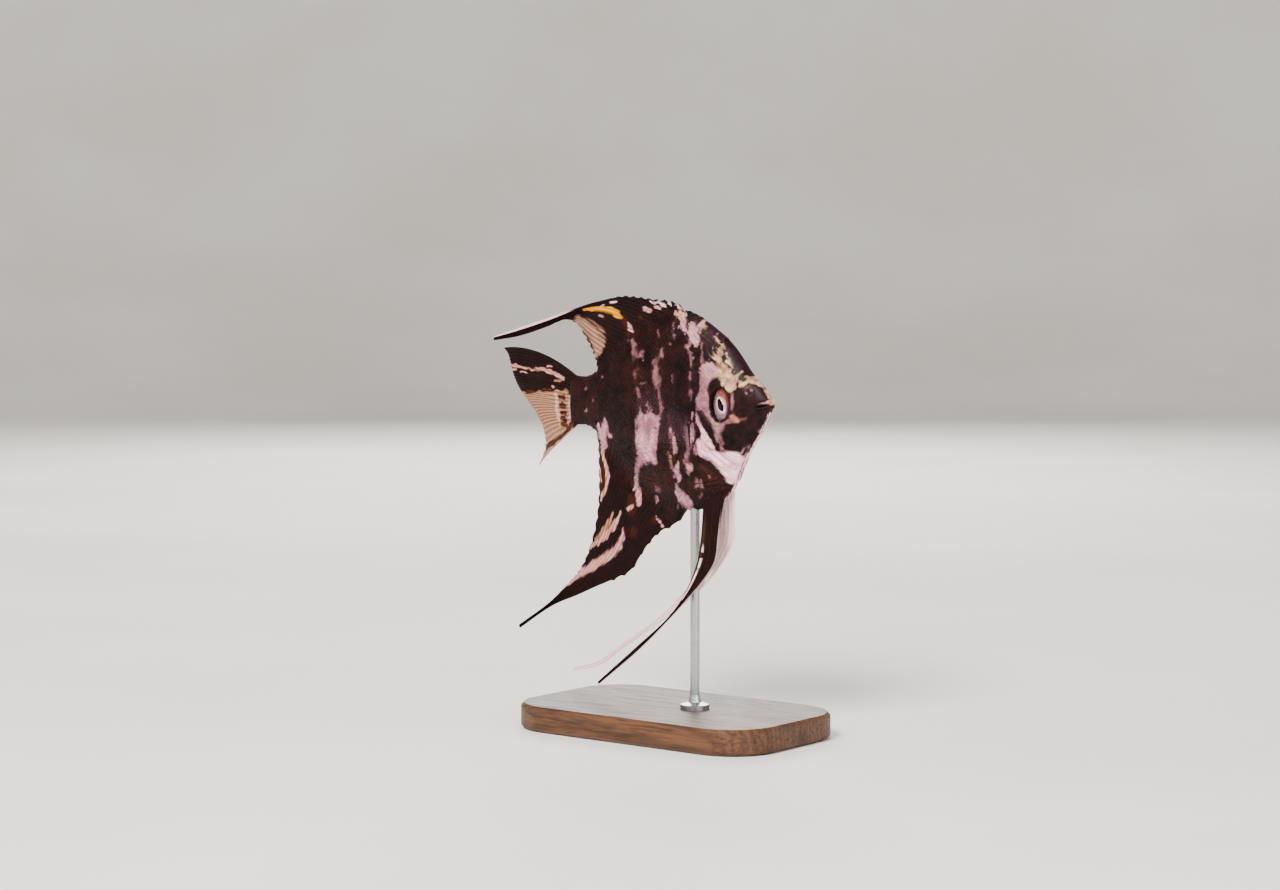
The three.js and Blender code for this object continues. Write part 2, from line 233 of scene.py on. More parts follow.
def curve_through(keys):
    """A smooth function through rows of position, value, value and so on."""
    keys = np.array(keys, float)
    at = keys[:, 0]
    values = keys[:, 1:]
    slopes = np.diff(values, axis=0) / np.diff(at)[:, None]
    tangents = np.vstack([slopes[:1], (slopes[1:] + slopes[:-1]) / 2, slopes[-1:]])

    def evaluate(position):
        position = np.clip(np.asarray(position, float), at[0], at[-1])
        i = np.clip(np.searchsorted(at, position, side="right") - 1, 0, len(at) - 2)
        span = at[i + 1] - at[i]
        t = ((position - at[i]) / span)[..., None]
        span = span[..., None]
        ends = values[i] * (2 * t**3 - 3 * t**2 + 1) + values[i + 1] * (3 * t**2 - 2 * t**3)
        result = ends + span * (tangents[i] * (t**3 - 2 * t**2 + t) + tangents[i + 1] * (t**3 - t**2))
        return result[..., 0] if values.shape[1] == 1 else result

    return evaluate


def smooth(low, high, value):
    """From 0 below low to 1 above high."""
    t = np.clip((value - low) / (high - low), 0, 1)
    return t * t * (3 - 2 * t)


def fading(low, high, value):
    """From 1 below low to 0 above high."""
    return 1 - smooth(low, high, value)


def hump(distance, width):
    return np.exp(-((distance / width) ** 2))


# Keys run from 0 at the snout to 1 at the tail's root, in the square root of the share of the length.
# Values are hundredths of the body's length.
back_line = curve_through([
    [0, 1.7], [0.13, 3.4], [0.2, 6.1], [0.255, 8.8], [0.311, 11.2], [0.347, 14.1], [0.381, 17.5],
    [0.444, 23.6], [0.514, 28.9], [0.637, 36.1], [0.7, 35.7], [0.81, 27.9], [0.91, 14.3], [0.955, 9.8],
    [1, 10],
])
belly_line = curve_through([
    [0, 1.5], [0.13, -0.7], [0.18, -4.4], [0.235, -8.7], [0.3, -13.8], [0.37, -20.6], [0.44, -32],
    [0.475, -36], [0.53, -38.8], [0.62, -41.2], [0.7, -40.3], [0.81, -31.3], [0.91, -15.7],
    [0.955, -10.4], [1, -10.7],
])
half_width = curve_through([
    [0, 0.6], [0.13, 2.2], [0.22, 3.7], [0.32, 5.3], [0.42, 6.9], [0.52, 8], [0.6, 8.3], [0.7, 7.6],
    [0.81, 5.9], [0.9, 4], [0.955, 2.8], [1, 1.5],
])
widest_line = curve_through([[0, 1.6], [0.2, 1], [0.45, -2], [0.6, -5], [0.75, -3], [0.9, 0], [1, 0]])
ridge_edge = curve_through([[0, 0.9], [0.3, 1], [0.5, 1.15], [0.65, 1.45], [0.9, 1.35], [1, 1]])
keel_edge = curve_through([[0, 0.9], [0.3, 1.05], [0.45, 1], [0.6, 1.1], [0.75, 1.4], [0.9, 1.35], [1, 1]])


def flank_point(station, angle):
    """How far out and how high the body's side is, at a station and an angle above the widest line."""
    middle = widest_line(station)
    up = np.sin(angle)
    top_reach = (back_line(station) - middle) * share - coat_depth
    bottom_reach = (middle - belly_line(station)) * share - coat_depth
    reach = np.where(up > 0, top_reach, bottom_reach)
    edge = np.where(up > 0, ridge_edge(station), keel_edge(station))
    out = (half_width(station) * share - coat_depth) * np.abs(np.cos(angle)) ** edge
    return out, axis_z + middle * share + up * reach


stations = 252
side_steps = 180
first_station = 0.05
station_at = np.linspace(first_station, 1.0, stations)
station_x = snout_x - coat_depth - station_at**2 * flesh_length

# Each side is parted evenly along its own arc, from the ridge of the back down to the keel.
fine_angles = np.linspace(math.pi / 2, -math.pi / 2, 721)
side_out = np.zeros((stations, side_steps + 1))
side_height = np.zeros((stations, side_steps + 1))
side_arc = np.zeros((stations, side_steps + 1))
for row, station in enumerate(station_at):
    out, height = flank_point(station, fine_angles)
    arc = np.concatenate([[0], np.cumsum(np.hypot(np.diff(out), np.diff(height)))])
    even = np.linspace(0, arc[-1], side_steps + 1)
    side_out[row] = np.interp(even, arc, out)
    side_height[row] = np.interp(even, arc, height)
    side_arc[row] = arc[len(arc) // 2] - even

ring_steps = 2 * side_steps
skin = np.zeros((stations, ring_steps, 3))
skin[:, :, 0] = station_x[:, None]
skin[:, : side_steps + 1, 1] = -side_out
skin[:, : side_steps + 1, 2] = side_height
skin[:, side_steps + 1 :, 1] = side_out[:, -2:0:-1]
skin[:, side_steps + 1 :, 2] = side_height[:, -2:0:-1]


def ring_normals(grid):
    along = np.gradient(grid, axis=0)
    around = np.roll(grid, -1, axis=1) - np.roll(grid, 1, axis=1)
    normal = np.cross(around, along)
    normal /= np.linalg.norm(normal, axis=2, keepdims=True) + 1e-9
    outwards = np.sign((normal[:, :, 1] * grid[:, :, 1]).sum())
    return normal * outwards


# Lines on the face, as hundredths of the body's length back from the snout for a height above its axis.
gill_line = curve_through([
    [-32, 14.5], [-27.5, 20], [-23.5, 26], [-18, 31.4], [-12, 34], [-5, 34.6], [2, 33.2], [10, 31],
    [16, 29.5],
])
cheek_line = curve_through([
    [-27, 10], [-22, 16], [-19, 19.5], [-15, 23.3], [-9, 27], [-4, 29.3], [2, 30], [9, 28.6], [14, 28],
])
eye_x = 16.1
eye_z = 76.35
eye_reach = (2.55, 3.75)
nostril = (22.6, 79.6)
mouth_corner = (6.2, -0.1)


def from_eye(x, z):
    """Distance from the eye's centre, stretched so that its oval rim lies at the eye's half height."""
    return np.hypot((x - eye_x) * eye_reach[1] / eye_reach[0], z - eye_z)


def ahead_of(line, back, up):
    """Millimetres in front of a line on the face, square to it."""
    slope = line(up + 0.5) - line(up - 0.5)
    return (line(up) - back) * share / np.sqrt(1 + slope**2)


def face_relief(x, z):
    """How far the skin stands out of the plain body, in millimetres, at a place on its side."""
    back = (snout_x - x) / share
    up = (z - axis_z) / share

    gill = ahead_of(gill_line, back, up)
    gill_fade = fading(11, 15, up) * smooth(-33, -29, up)
    cover = 0.26 * smooth(-0.05, 0.2, gill) * (1 - 0.7 * smooth(0.5, 5, gill))
    relief = gill_fade * (cover - 0.16 * hump(gill + 0.32, 0.26))

    cheek = ahead_of(cheek_line, back, up)
    cheek_fade = fading(6, 11, up) * smooth(-27, -22, up)
    relief += cheek_fade * (0.12 * smooth(0, 0.15, cheek) * fading(0.3, 2.5, cheek))
    relief -= cheek_fade * 0.14 * hump(cheek + 0.16, 0.17)

    # Folds of the gill membrane under the cheek.
    membrane = smooth(0.6, 1.4, -cheek) * smooth(-33, -28, up) * fading(-17, -13, up) * smooth(8, 13, back)
    relief += 0.07 * membrane * np.sin(cheek * 5.2 + 0.4 * np.sin(x))

    rim = from_eye(x, z) - eye_reach[1]
    relief += 0.2 * hump(rim - 0.45, 0.38) - 0.06 * hump(rim - 1.4, 0.4)
    relief -= 1.9 * fading(-0.35, 0.12, rim)

    from_nostril = np.hypot(x - nostril[0], z - nostril[1])
    relief += 0.09 * hump(from_nostril - 0.5, 0.2) - 0.3 * hump(from_nostril, 0.26)

    # The mouth: a slit that opens towards the lips, a lip above and below, and the fold behind its corner.
    slit = 1.55 + (mouth_corner[1] - 1.55) * back / mouth_corner[0]
    from_slit = (up - slit) * share
    in_mouth = fading(mouth_corner[0] - 1.2, mouth_corner[0] + 0.3, back)
    opening = 0.13 + 0.16 * fading(0, mouth_corner[0], back)
    lip = hump(np.abs(from_slit) - opening - 0.3, 0.3)
    relief += in_mouth * (0.13 * lip - 0.45 * hump(from_slit, opening) * smooth(-0.5, 2.5, back))
    fold_back = mouth_corner[0] + 1.2 - 0.05 * (up - 3) ** 2
    fold = (back - fold_back) * share
    relief -= 0.11 * hump(fold, 0.16) * smooth(-4.5, -2.5, up) * fading(3.5, 7, up)
    lip_groove = np.abs(from_slit) - 1.15 + 0.05 * back
    relief -= 0.07 * in_mouth * hump(lip_groove, 0.16) * smooth(1, 3, back)

    # Sensory pores under the eye and over it, and the soft unevenness of muscle along the flank.
    for turn in np.radians([-155, -130, -105, -80, -55, 60, 85]):
        pore = np.hypot(x - eye_x - 5.3 * np.cos(turn), z - eye_z - 5.3 * np.sin(turn))
        relief -= 0.09 * hump(pore, 0.16)
    muscle = np.sin(1.9 * (x + 0.02 * (z - axis_z) ** 2)) * smooth(33, 40, back)
    relief += 0.025 * muscle + 0.03 * np.sin(0.5 * x + 0.3 * z) * np.sin(0.37 * z)
    return relief


relief = face_relief(skin[:, :, 0], skin[:, :, 2])
beside_ridge = smooth(0.0, 0.35, np.abs(skin[:, :, 1]))
relief = relief * np.maximum(beside_ridge, 0.25)
skin = skin + ring_normals(skin) * relief[:, :, None]
skin_normal = ring_normals(skin)

# The marble pattern on the right side. Each mark is a stroke through places (x, z) with a half width there.
pale_marks = [
    [(-7, 71.6, 1.2), (-6.9, 67, 1.7), (-7.2, 63.4, 1.5)],
    [(-3.2, 72, 1.3), (-3.7, 67, 1.4), (-3.8, 63.6, 1.3)], [(-5.2, 72.4, 0.9), (-5.3, 63.6, 1.3)],
    [(-8.6, 62.2, 0.8), (-9.4, 60.6, 0.6), (-10.3, 58.6, 0.6)], [(-1.6, 72.4, 0.5), (-1.6, 71, 0.4)],
    [(-3.5, 73.5, 0.3)], [(-6.4, 73, 0.3)], [(-3.4, 62, 0.4)],
    [(-18.8, 71.5, 0.5), (-18.8, 69.8, 0.7), (-19.8, 68.2, 1.1)], [(-17.6, 68, 0.6)],
    [(-20.6, 66.4, 0.8)], [(3.4, 95.6, 0.6), (3.9, 94.3, 0.55), (4.7, 93.1, 0.4)],
    [(6.2, 94.9, 0.25), (6.6, 93.8, 0.5), (7, 92.6, 0.75)],
    [(7, 92.6, 0.8), (7.8, 91.2, 0.8), (8.6, 90, 0.5)], [(8.4, 94.6, 0.35), (8, 93, 0.35)],
    [(2.6, 93.3, 0.3)],
    [(12.3, 84.2, 1.3), (12.2, 82, 1.0), (11.9, 79.4, 1.0), (12.1, 77.4, 1.4), (12.4, 75.8, 1.8)],
    [(12.6, 75, 1.6), (13.7, 73.8, 1.3), (14.8, 72.4, 1.2), (16, 71.6, 1.0), (16.8, 73, 0.5)],
    [(11.2, 84.4, 0.9), (13, 83.4, 1.1), (14.6, 83.6, 1.0)], [(3.4, 67.6, 0.6), (3.6, 65.6, 0.6)],
    [(4.2, 62.8, 0.3), (3.6, 61.2, 0.7), (4.1, 59.8, 0.6), (3.8, 58.4, 0.3)],
    [(3.2, 57.2, 0.6), (3, 55.8, 0.5), (2.6, 54.2, 0.5)],
    [(4.4, 54.8, 1.0), (5.1, 53.6, 1.1), (4.4, 52.4, 0.9)], [(7.5, 61.8, 0.5)],
    [(9.3, 74.3, 0.25), (8.9, 73, 0.2)],
    [(16, 67.4, 0.25), (16.6, 66.4, 0.4), (17.6, 65.7, 0.3), (19.6, 65.8, 0.3)],
    [(24.6, 70.6, 0.3), (25.4, 71.7, 0.2)], [(20.4, 65.4, 0.25), (21.3, 66.9, 0.35), (22, 67.5, 0.25)],
    [(10.3, 74.2, 0.15), (10.7, 72.6, 0.3), (11.3, 71, 0.4)],
    [(11.3, 69, 0.4), (12, 67, 0.7), (13.6, 65.8, 0.7)], [(13.6, 65.8, 0.7), (15.2, 65.3, 0.5)],
    [(9.2, 66.6, 0.3), (9.6, 65.2, 0.4)],
]
dusky_marks = [
    [(-11.7, 90, 0.35), (-10.6, 89, 0.5), (-10, 87.4, 0.7), (-8.7, 87.1, 0.6), (-7.6, 87.5, 0.45)],
    [(-7.3, 86.4, 0.25), (-6.8, 85.6, 0.2)], [(-3.5, 93, 0.15), (-3.2, 91.5, 0.3)],
    [(-1.2, 88.5, 0.4), (-1.1, 87.2, 0.45)],
    [(-2, 86.4, 0.4), (-3.3, 85, 0.5), (-2.6, 83.6, 0.5), (-2.4, 82.2, 0.75), (-1.6, 81, 0.75)],
    [
        (-1.6, 81, 0.75), (-1.3, 80, 0.6), (-0.8, 78.4, 0.4), (-0.6, 76.4, 0.35), (-0.2, 74.8, 0.4),
        (-0.7, 73.2, 0.4),
    ],
    [(-9.3, 82.8, 0.45), (-8.8, 81.6, 0.3)], [(-8.2, 79, 0.35), (-7.4, 77.8, 0.4)],
    [(-6.9, 80.4, 0.25), (-5.6, 80.4, 0.25)], [(-4.8, 75.6, 0.45), (-4.2, 74.4, 0.25)],
    [(-12.3, 69.6, 0.3), (-11.8, 68.4, 0.25)], [(2, 91.8, 0.3), (2.2, 91, 0.25)], [(1, 89.6, 0.25)],
    [(6.6, 90.4, 0.4), (5.7, 89, 0.4)], [(6.6, 88, 0.3), (7.6, 86.6, 0.3), (8, 85, 0.2)],
    [(7.9, 83.6, 0.2), (7.7, 82.4, 0.35)], [(8.2, 79.4, 0.3), (8.5, 77.4, 0.2)],
    [(2.4, 82.4, 0.3), (2.6, 80.8, 0.3)], [(10, 89.6, 0.35), (10.2, 87.4, 0.25), (10.6, 85.8, 0.3)],
    [(12.9, 92, 0.2), (13.1, 90.9, 0.2)], [(12.4, 86.2, 0.3)],
    [
        (7, 69.6, 0.35), (7.8, 67, 0.45), (7.1, 65.2, 0.45), (6.8, 63.4, 0.3), (7.3, 62, 0.6),
        (6.9, 60.8, 0.4),
    ],
    [(9, 71.6, 0.3), (9.1, 70.4, 0.45), (9, 69.2, 0.4), (8.5, 68, 0.35)],
    [(2.7, 69.2, 0.4), (3.2, 68.2, 0.5)], [(1.7, 65, 0.2), (1.6, 63, 0.3), (2, 61.8, 0.3)],
    [(-3.6, 56, 0.8)], [(2, 52.8, 0.5)], [(12.6, 60, 0.3)],
    [(19.1, 78.8, 0.25), (19.2, 77, 0.25), (19.2, 75.4, 0.2)],
    [(15.2, 70.8, 0.7), (15.5, 69.2, 0.7), (16.4, 67.8, 0.6)],
    [(24.9, 76.5, 0.15), (25.9, 77, 0.15), (27, 77, 0.3)],
    [(8.8, 59.4, 0.3), (9, 58.4, 0.5), (8.4, 57.2, 0.3)], [(10.2, 59, 0.3), (10.5, 57.4, 0.3)],
    [(9.3, 55.2, 0.4)], [(17, 72.1, 0.3), (18.6, 72.8, 0.35), (19.4, 73.8, 0.3)],
    [(21, 73, 0.3), (22.3, 73.5, 0.3)], [(-24.8, 78.7, 0.4)], [(-24.9, 73.5, 0.4)], [(-13.4, 75.5, 0.35)],
    [(-22.2, 76.4, 0.25)], [(-14.4, 80.6, 0.25)], [(-20, 81.6, 0.25)], [(0.6, 64.2, 0.2)],
    [(22.3, 79.2, 0.25)], [(23.4, 79.8, 0.2)], [(18.4, 69.4, 0.2)],
]
cream_marks = [
    [(1.8, 96.9, 0.4), (3.2, 96.5, 0.5), (4.2, 96.2, 0.3)], [(9, 94, 0.3), (9.1, 92.4, 0.35)],
    [(14.7, 85.6, 0.6), (16.2, 85.2, 0.45), (16.7, 83.9, 0.7), (17.4, 82.8, 0.7)],
    [(15, 83.6, 0.8), (16.6, 82.6, 0.7)], [(17.4, 82.6, 0.7), (18.4, 81.9, 0.9), (19.4, 82.2, 0.5)],
    [(16.6, 81.2, 0.35), (18.4, 80.8, 0.7), (19.3, 80.4, 0.5)], [(18.3, 79.8, 0.5)],
    [(19.6, 82.9, 0.3), (20.4, 83.6, 0.2)], [(20.6, 81.4, 0.35), (20.7, 80.6, 0.25)],
    [
        (22, 82, 0.25), (23.4, 81.6, 0.25), (24.6, 81.1, 0.2), (25.6, 80.3, 0.12), (26.6, 79, 0.12),
        (27.7, 77.8, 0.25),
    ],
    [(14.4, 89.2, 0.25), (15, 87.8, 0.4), (15.1, 86.4, 0.45)], [(16.2, 88, 0.2)], [(12.9, 85.4, 0.3)],
    [(27.3, 77.1, 0.3), (28.2, 77, 0.35)], [(2, 63.9, 0.2), (1.9, 62.4, 0.2)],
    [(20.6, 65.3, 0.3), (19.2, 65.4, 0.35)], [(14.2, 72.4, 0.35), (15.6, 71.6, 0.4)], [(12.6, 83, 0.3)],
    [(22.6, 83.2, 0.15), (24, 82, 0.2)], [(21.4, 82.8, 0.2), (22.6, 82.4, 0.2)],
]
orange_marks = [[(18.9, 73.7, 0.3), (19.6, 73.2, 0.5), (20.5, 72.8, 0.35)]]
white_marks = [
    [(11.3, 70.9, 0.3), (12.2, 69.2, 0.55), (13.2, 67.7, 0.5), (14.2, 66.7, 0.3)],
    [(11, 67.2, 0.9), (11.2, 65.7, 0.9)],
    [(12.4, 65.3, 0.9), (14.6, 64.5, 0.9), (16.8, 64.2, 1.1), (18.6, 64.6, 0.9)],
    [(15.6, 63.6, 1.0), (18.4, 63.5, 1.4), (19.6, 64, 0.8)],
    [(17.2, 62.4, 1.6), (17.8, 60.8, 1.4), (17.6, 59.4, 0.9)],
]
black_marks = [
    [
        (14.9, 81.7, 0.3), (14.1, 80.9, 0.6), (13.7, 79.6, 0.7), (14, 78.2, 0.5), (14.3, 76.4, 0.3),
        (14.6, 74.6, 0.25),
    ],
    [
        (11, 74.4, 0.5), (11.8, 73.2, 0.65), (13, 71.6, 0.7), (13.5, 70, 0.75), (14.2, 68.5, 0.5),
        (15, 67, 0.25),
    ],
    [(10.2, 70.5, 0.4), (10.4, 69, 0.5)],
    [(18.6, 70.4, 1.4), (20, 69, 1.9), (22.4, 70.6, 1.8), (24.6, 73, 1.4)],
    [(19, 67.4, 1.0), (21.2, 68.4, 1.0)], [(22, 75, 1.4), (24.8, 75.6, 0.9), (26.6, 76.2, 0.4)],
    [(21, 78.4, 0.8), (22.4, 76.8, 1.4)], [(4.4, 84.4, 2.0), (5, 80, 1.8)],
    [(-14, 72, 2.4), (-13.4, 66, 2.6)], [(-5.4, 62.3, 0.3)], [(20.2, 65, 0.1), (21.4, 66.5, 0.1)],
    [(19, 63.9, 0.12)], [(-13.6, 74, 1.8), (-15, 80, 2)],
]
# Violet painted sheen over the dark skin: a band along the forehead and patches on the face and flank.
violet_sheen_marks = [
    [
        (9.6, 95.4, 0.5), (12.4, 93.2, 1.0), (15.4, 90.8, 1.2), (18, 88, 1.6), (20.4, 85, 1.6),
        (22, 83, 1.0),
    ],
    [(18.6, 85.2, 1.2)], [(23.4, 80.4, 0.8), (24.8, 79.2, 1.0), (26, 78, 0.6)],
    [(12, 89.6, 0.9), (13, 87.6, 0.8)], [(5.6, 72.6, 1.8), (2, 74, 2.0)], [(1.6, 78.4, 1.6)],
    [(8.8, 84, 0.8), (9.4, 79, 0.7)], [(7.2, 68.4, 1.6)], [(9.4, 66.6, 0.6), (8.6, 64.6, 0.5)],
    [(16.4, 72.6, 0.5), (17.2, 72.5, 0.3)], [(15, 78, 0.7), (14.8, 75, 0.7)],
]
pale_hatching = [
    [(1.4, 94, 0.6), (4.6, 92.6, 0.8)], [(5.4, 93.6, 1.2), (7.4, 90, 1.3), (8, 87.4, 0.5)],
    [(10.6, 90.6, 0.5), (11, 86, 0.7)], [(11.4, 86.6, 0.8), (13.6, 85.4, 0.9)], [(-5.2, 73.6, 2.4)],
    [(3, 70, 0.9), (3.2, 65, 0.7)], [(3.6, 60, 1.0)], [(7.2, 69, 0.8), (7.2, 62, 0.9)],
    [(9, 72, 0.7), (8.9, 68, 0.6)],
]
dusky_hatching = [
    [(-10.4, 89, 1.6), (-9, 83, 1.5), (-7.6, 77, 1.8), (-5, 75, 1.6)],
    # The strokes through (2, 79) and (3, 82) are painted sheen: lilac speckles where the scales catch the
    # light.
    [(-1.4, 92, 1.2), (-2.4, 84, 1.6), (-1, 76, 1.6)], [(2, 79, 1.6), (4.4, 73, 2.4), (6, 71, 1.8)],
    [(7.8, 90, 1.0), (8, 78, 0.9)], [(1.6, 92, 1.2)], [(3, 82, 1.0)], [(-4, 57, 2.6)], [(-19, 70, 1.6)],
    [(9.4, 59, 1.6)], [(12.4, 91.6, 1.6)], [(-9.6, 61, 1.3), (-11, 58, 0.9)],
    [(20, 78, 1.4), (20, 75.6, 1.0)], [(-12, 69.4, 1.0)], [(22.6, 79.6, 1.3)],
]
cream_hatching = [
    [(9, 95, 0.5), (9.6, 93, 0.5)],
    [(12.6, 91.4, 0.3), (14.2, 89.4, 0.7), (15, 87.6, 0.9), (15.4, 85.8, 1.1)],
    [(13.4, 85.4, 1.2), (16.4, 84.4, 1.2), (18.2, 82.8, 1.1), (20.4, 81.8, 0.9)], [(2.4, 96.4, 0.9)],
    [(21.6, 81.6, 0.8)],
]
rust_marks = [
    [(-9.6, 67, 0.7), (-9.4, 63.6, 0.6)], [(-8, 68.6, 0.4)], [(-8, 71.8, 0.3)],
    [(-3.4, 56.2, 1.4), (-6.6, 58.6, 1.6)], [(2.7, 63.4, 0.6)], [(-11.8, 90.8, 0.9)],
    [(-20.6, 70.2, 0.8)], [(9.3, 56.8, 0.4)], [(5.6, 65.4, 0.6), (5.7, 61, 0.6)],
    [(11, 62, 1.5), (13, 60.4, 2.2), (14, 58, 2.2)], [(-4.4, 60, 1.8)], [(1.9, 95, 0.5)],
    [(8.6, 93.2, 0.3)], [(7.4, 58.8, 0.9), (7.2, 56, 1.2)], [(-8.6, 84, 0.9), (-8.6, 81, 1.0)],
    [(-5.2, 79, 1.2)], [(1, 60, 1.8), (0, 57, 1.4)],
]


def drift(x, z, cell_x, cell_z, seed):
    """Smooth random values from 0 to 1 that change over cells of the given size."""
    lattice = np.random.default_rng(seed).uniform(size=(256, 256))
    u = x / cell_x + 4096
    v = z / cell_z + 4096
    i = np.floor(u).astype(int)
    j = np.floor(v).astype(int)
    s = smooth(0, 1, u - i)
    t = smooth(0, 1, v - j)
    low = lattice[i % 256, j % 256] * (1 - s) + lattice[(i + 1) % 256, j % 256] * s
    high = lattice[i % 256, (j + 1) % 256] * (1 - s) + lattice[(i + 1) % 256, (j + 1) % 256] * s
    return low * (1 - t) + high * t


def stroked(x, z, strokes, softness=0.7):
    """How far each place lies in any of the strokes: 1 well inside, 0 outside, soft at the edge."""
    bare = np.ones(x.shape)
    for stroke in strokes:
        for start, end in zip(stroke, stroke[1:] or stroke):
            run = np.array(end[:2]) - np.array(start[:2])
            along = ((x - start[0]) * run[0] + (z - start[1]) * run[1]) / max(run @ run, 1e-6)
            along = np.clip(along, 0, 1)
            away = np.hypot(x - start[0] - along * run[0], z - start[1] - along * run[1])
            width = start[2] + (end[2] - start[2]) * along
            bare = bare * smooth(0.3 * width, 1.4 * width + 0.2 + softness * np.minimum(1, width), away)
    return 1 - bare


def body_marks(x, y, z):
    """The strength of each colour of the marble pattern, and of the painted sheen and shade, at places on
    the body, streaked and ragged.
    """
    left = y > 0
    own = np.where(left, smooth(0.4, 2.2, y) * smooth(5, 10, from_eye(x, z)), 0)
    u = x + own * (1.7 * np.sin(0.33 * z + 2.1) + 0.8)
    v = z + own * (1.5 * np.sin(0.29 * x + 0.7) - 0.6)

    # Streaks stand upright on the flank, slant down and forward on the nape, fade into dapples on the face,
    # and spread out from the eye on the crown.
    nape = smooth(1, 6, u) * smooth(80, 85, v)
    face = smooth(10, 13, u) * fading(82, 85, v)
    upright = 0.6 * drift(u, v, 0.45, 2.2, 3) + 0.4 * drift(u, v, 0.22, 0.7, 5)
    slant_u = 0.66 * u + 0.75 * v
    slant_v = 0.66 * v - 0.75 * u
    slanted = 0.6 * drift(slant_u, slant_v, 0.45, 1.9, 6) + 0.4 * drift(slant_u, slant_v, 0.24, 0.6, 8)
    dappled = 0.6 * drift(u, v, 0.6, 0.6, 10) + 0.4 * drift(u, v, 0.28, 0.28, 12)
    streak = upright + nape * (slanted - upright)
    streak = streak + face * (dappled - streak)
    turn = np.degrees(np.arctan2(v - eye_z, u - eye_x))
    spread = np.hypot(u - eye_x, v - eye_z)
    rayed = 0.65 * drift(turn, spread, 6, 2.4, 32) + 0.35 * drift(turn, spread, 3, 0.9, 34)
    crown = smooth(78, 80.5, v) * smooth(13.5, 16, u) * fading(84, 86, v)
    streak = streak + crown * (rayed - streak)
    calm = 1 - 0.6 * face
    torn_edge = 1 - 0.4 * face * (1 - crown)
    u = u + calm * (0.55 * (drift(u, v, 1.3, 1.6, 14) - 0.5) + 0.3 * (drift(u, v, 0.5, 0.7, 16) - 0.5))
    v = v + calm * (0.9 * (drift(u, v, 0.9, 1.8, 18) - 0.5) + 0.5 * (drift(u, v, 0.4, 0.8, 20) - 0.5))

    cloud = drift(u, v, 1.2, 1.6, 24)

    def ragged(strokes, amount, strength=1.0):
        soft = stroked(u, v, strokes)
        torn = soft + amount * torn_edge * (streak - 0.5) * smooth(0, 0.3, soft) * (1 - 0.4 * soft)
        return strength * (0.66 + 0.24 * cloud + 0.10 * streak) * np.clip(torn * 1.12 - 0.04, 0, 1)

    def hatched(strokes, low, high, strength):
        """Streaks alone, where a broad stroke is."""
        return strength * stroked(u, v, strokes, 1.0) * smooth(low, high, streak)

    pale = np.maximum(ragged(pale_marks, 1.3), hatched(pale_hatching, 0.5, 0.75, 0.75))
    marks = {
        "pale": pale * (1 - 0.24 * face),
        "dusky": np.maximum(ragged(dusky_marks, 1.3, 0.85), hatched(dusky_hatching, 0.42, 0.8, 0.42)),
        "cream": np.maximum(ragged(cream_marks, 1.3), hatched(cream_hatching, 0.44, 0.64, 0.95)),
        "orange": ragged(orange_marks, 0.7, 0.7),
        "white": ragged(white_marks, 0.9, 1.1),
        "black": ragged(black_marks, 0.7) * (1 - 0.8 * stroked(u, v, white_marks, 0.2)),
        "violet_sheen": ragged(violet_sheen_marks, 0.9, 0.8),
        "rust": ragged(rust_marks, 0.9, 0.75),
    }
    # The chin and the throat's middle are pale on both sides of the keel.
    back = (snout_x - x) / share
    up = (z - axis_z) / share
    wander = 0.45 * drift(x, z, 0.8, 1.1, 30)
    near_keel = fading(0.2 + wander, 0.7 + wander, np.abs(y))
    chin = near_keel * smooth(1.0, 3.0, back) * fading(24, 31, back) * fading(-2.5, -1, up)
    # Painted shade lies in thin folds that run down the chin, and a dark ring lies round the eye, broadest
    # behind and below it.
    fold_shade_at = 0.5 + 0.14 * np.sin(2.1 * z + 1.7 * left) + 0.1 * np.sin(5.3 * z + 1 + 2 * left)
    fold = hump(np.abs(y) - fold_shade_at, 0.14) * chin * smooth(0.25, 0.45, drift(x, z, 1.5, 1.5, 26))
    rim = from_eye(x, z) - eye_reach[1]
    turn = np.arctan2(z - eye_z, x - eye_x)
    behind = smooth(-0.3, 0.9, np.cos(turn - math.radians(205)))
    orbit = fading(0.1 * behind, 0.4 + 0.3 * behind, rim + 0.5 * (dappled - 0.5))
    marks["white"] = np.clip(np.maximum(marks["white"], chin * (0.8 + 0.2 * cloud)) - fold, 0, 1)
    marks["black"] = np.maximum(np.maximum(marks["black"] * (1 - chin), orbit), 0.7 * fold)
    return marks


def carried(tree, name, output="Fac"):
    """What the mesh carries under a name at each of its points."""
    return add_node(tree, "ShaderNodeAttribute", attribute_name=name).outputs[output]


def maths(tree, operation, *values):
    node = add_node(tree, "ShaderNodeMath", operation=operation)
    for socket, value in zip(node.inputs, values):
        feed(tree, value, socket)
    return node.outputs[0]


def marked_colour(tree, base, layers, edge_noise, raggedness):
    """The base under layers of (attribute, softening power, tint), each torn a little by the noise.

    Light tints over dark take a power over 1 and dark ones over light a power under 1, so that a soft edge
    looks evenly soft.
    """
    for name, power, tint in layers:
        shifted = maths(tree, "MULTIPLY_ADD", edge_noise, raggedness, carried(tree, name))
        cover = between(tree, shifted, 0.0, 1.0, raggedness * 0.62, 0.95 + raggedness * 0.5)
        base = mixed(tree, maths(tree, "POWER", cover, power), base, tint)
    return base


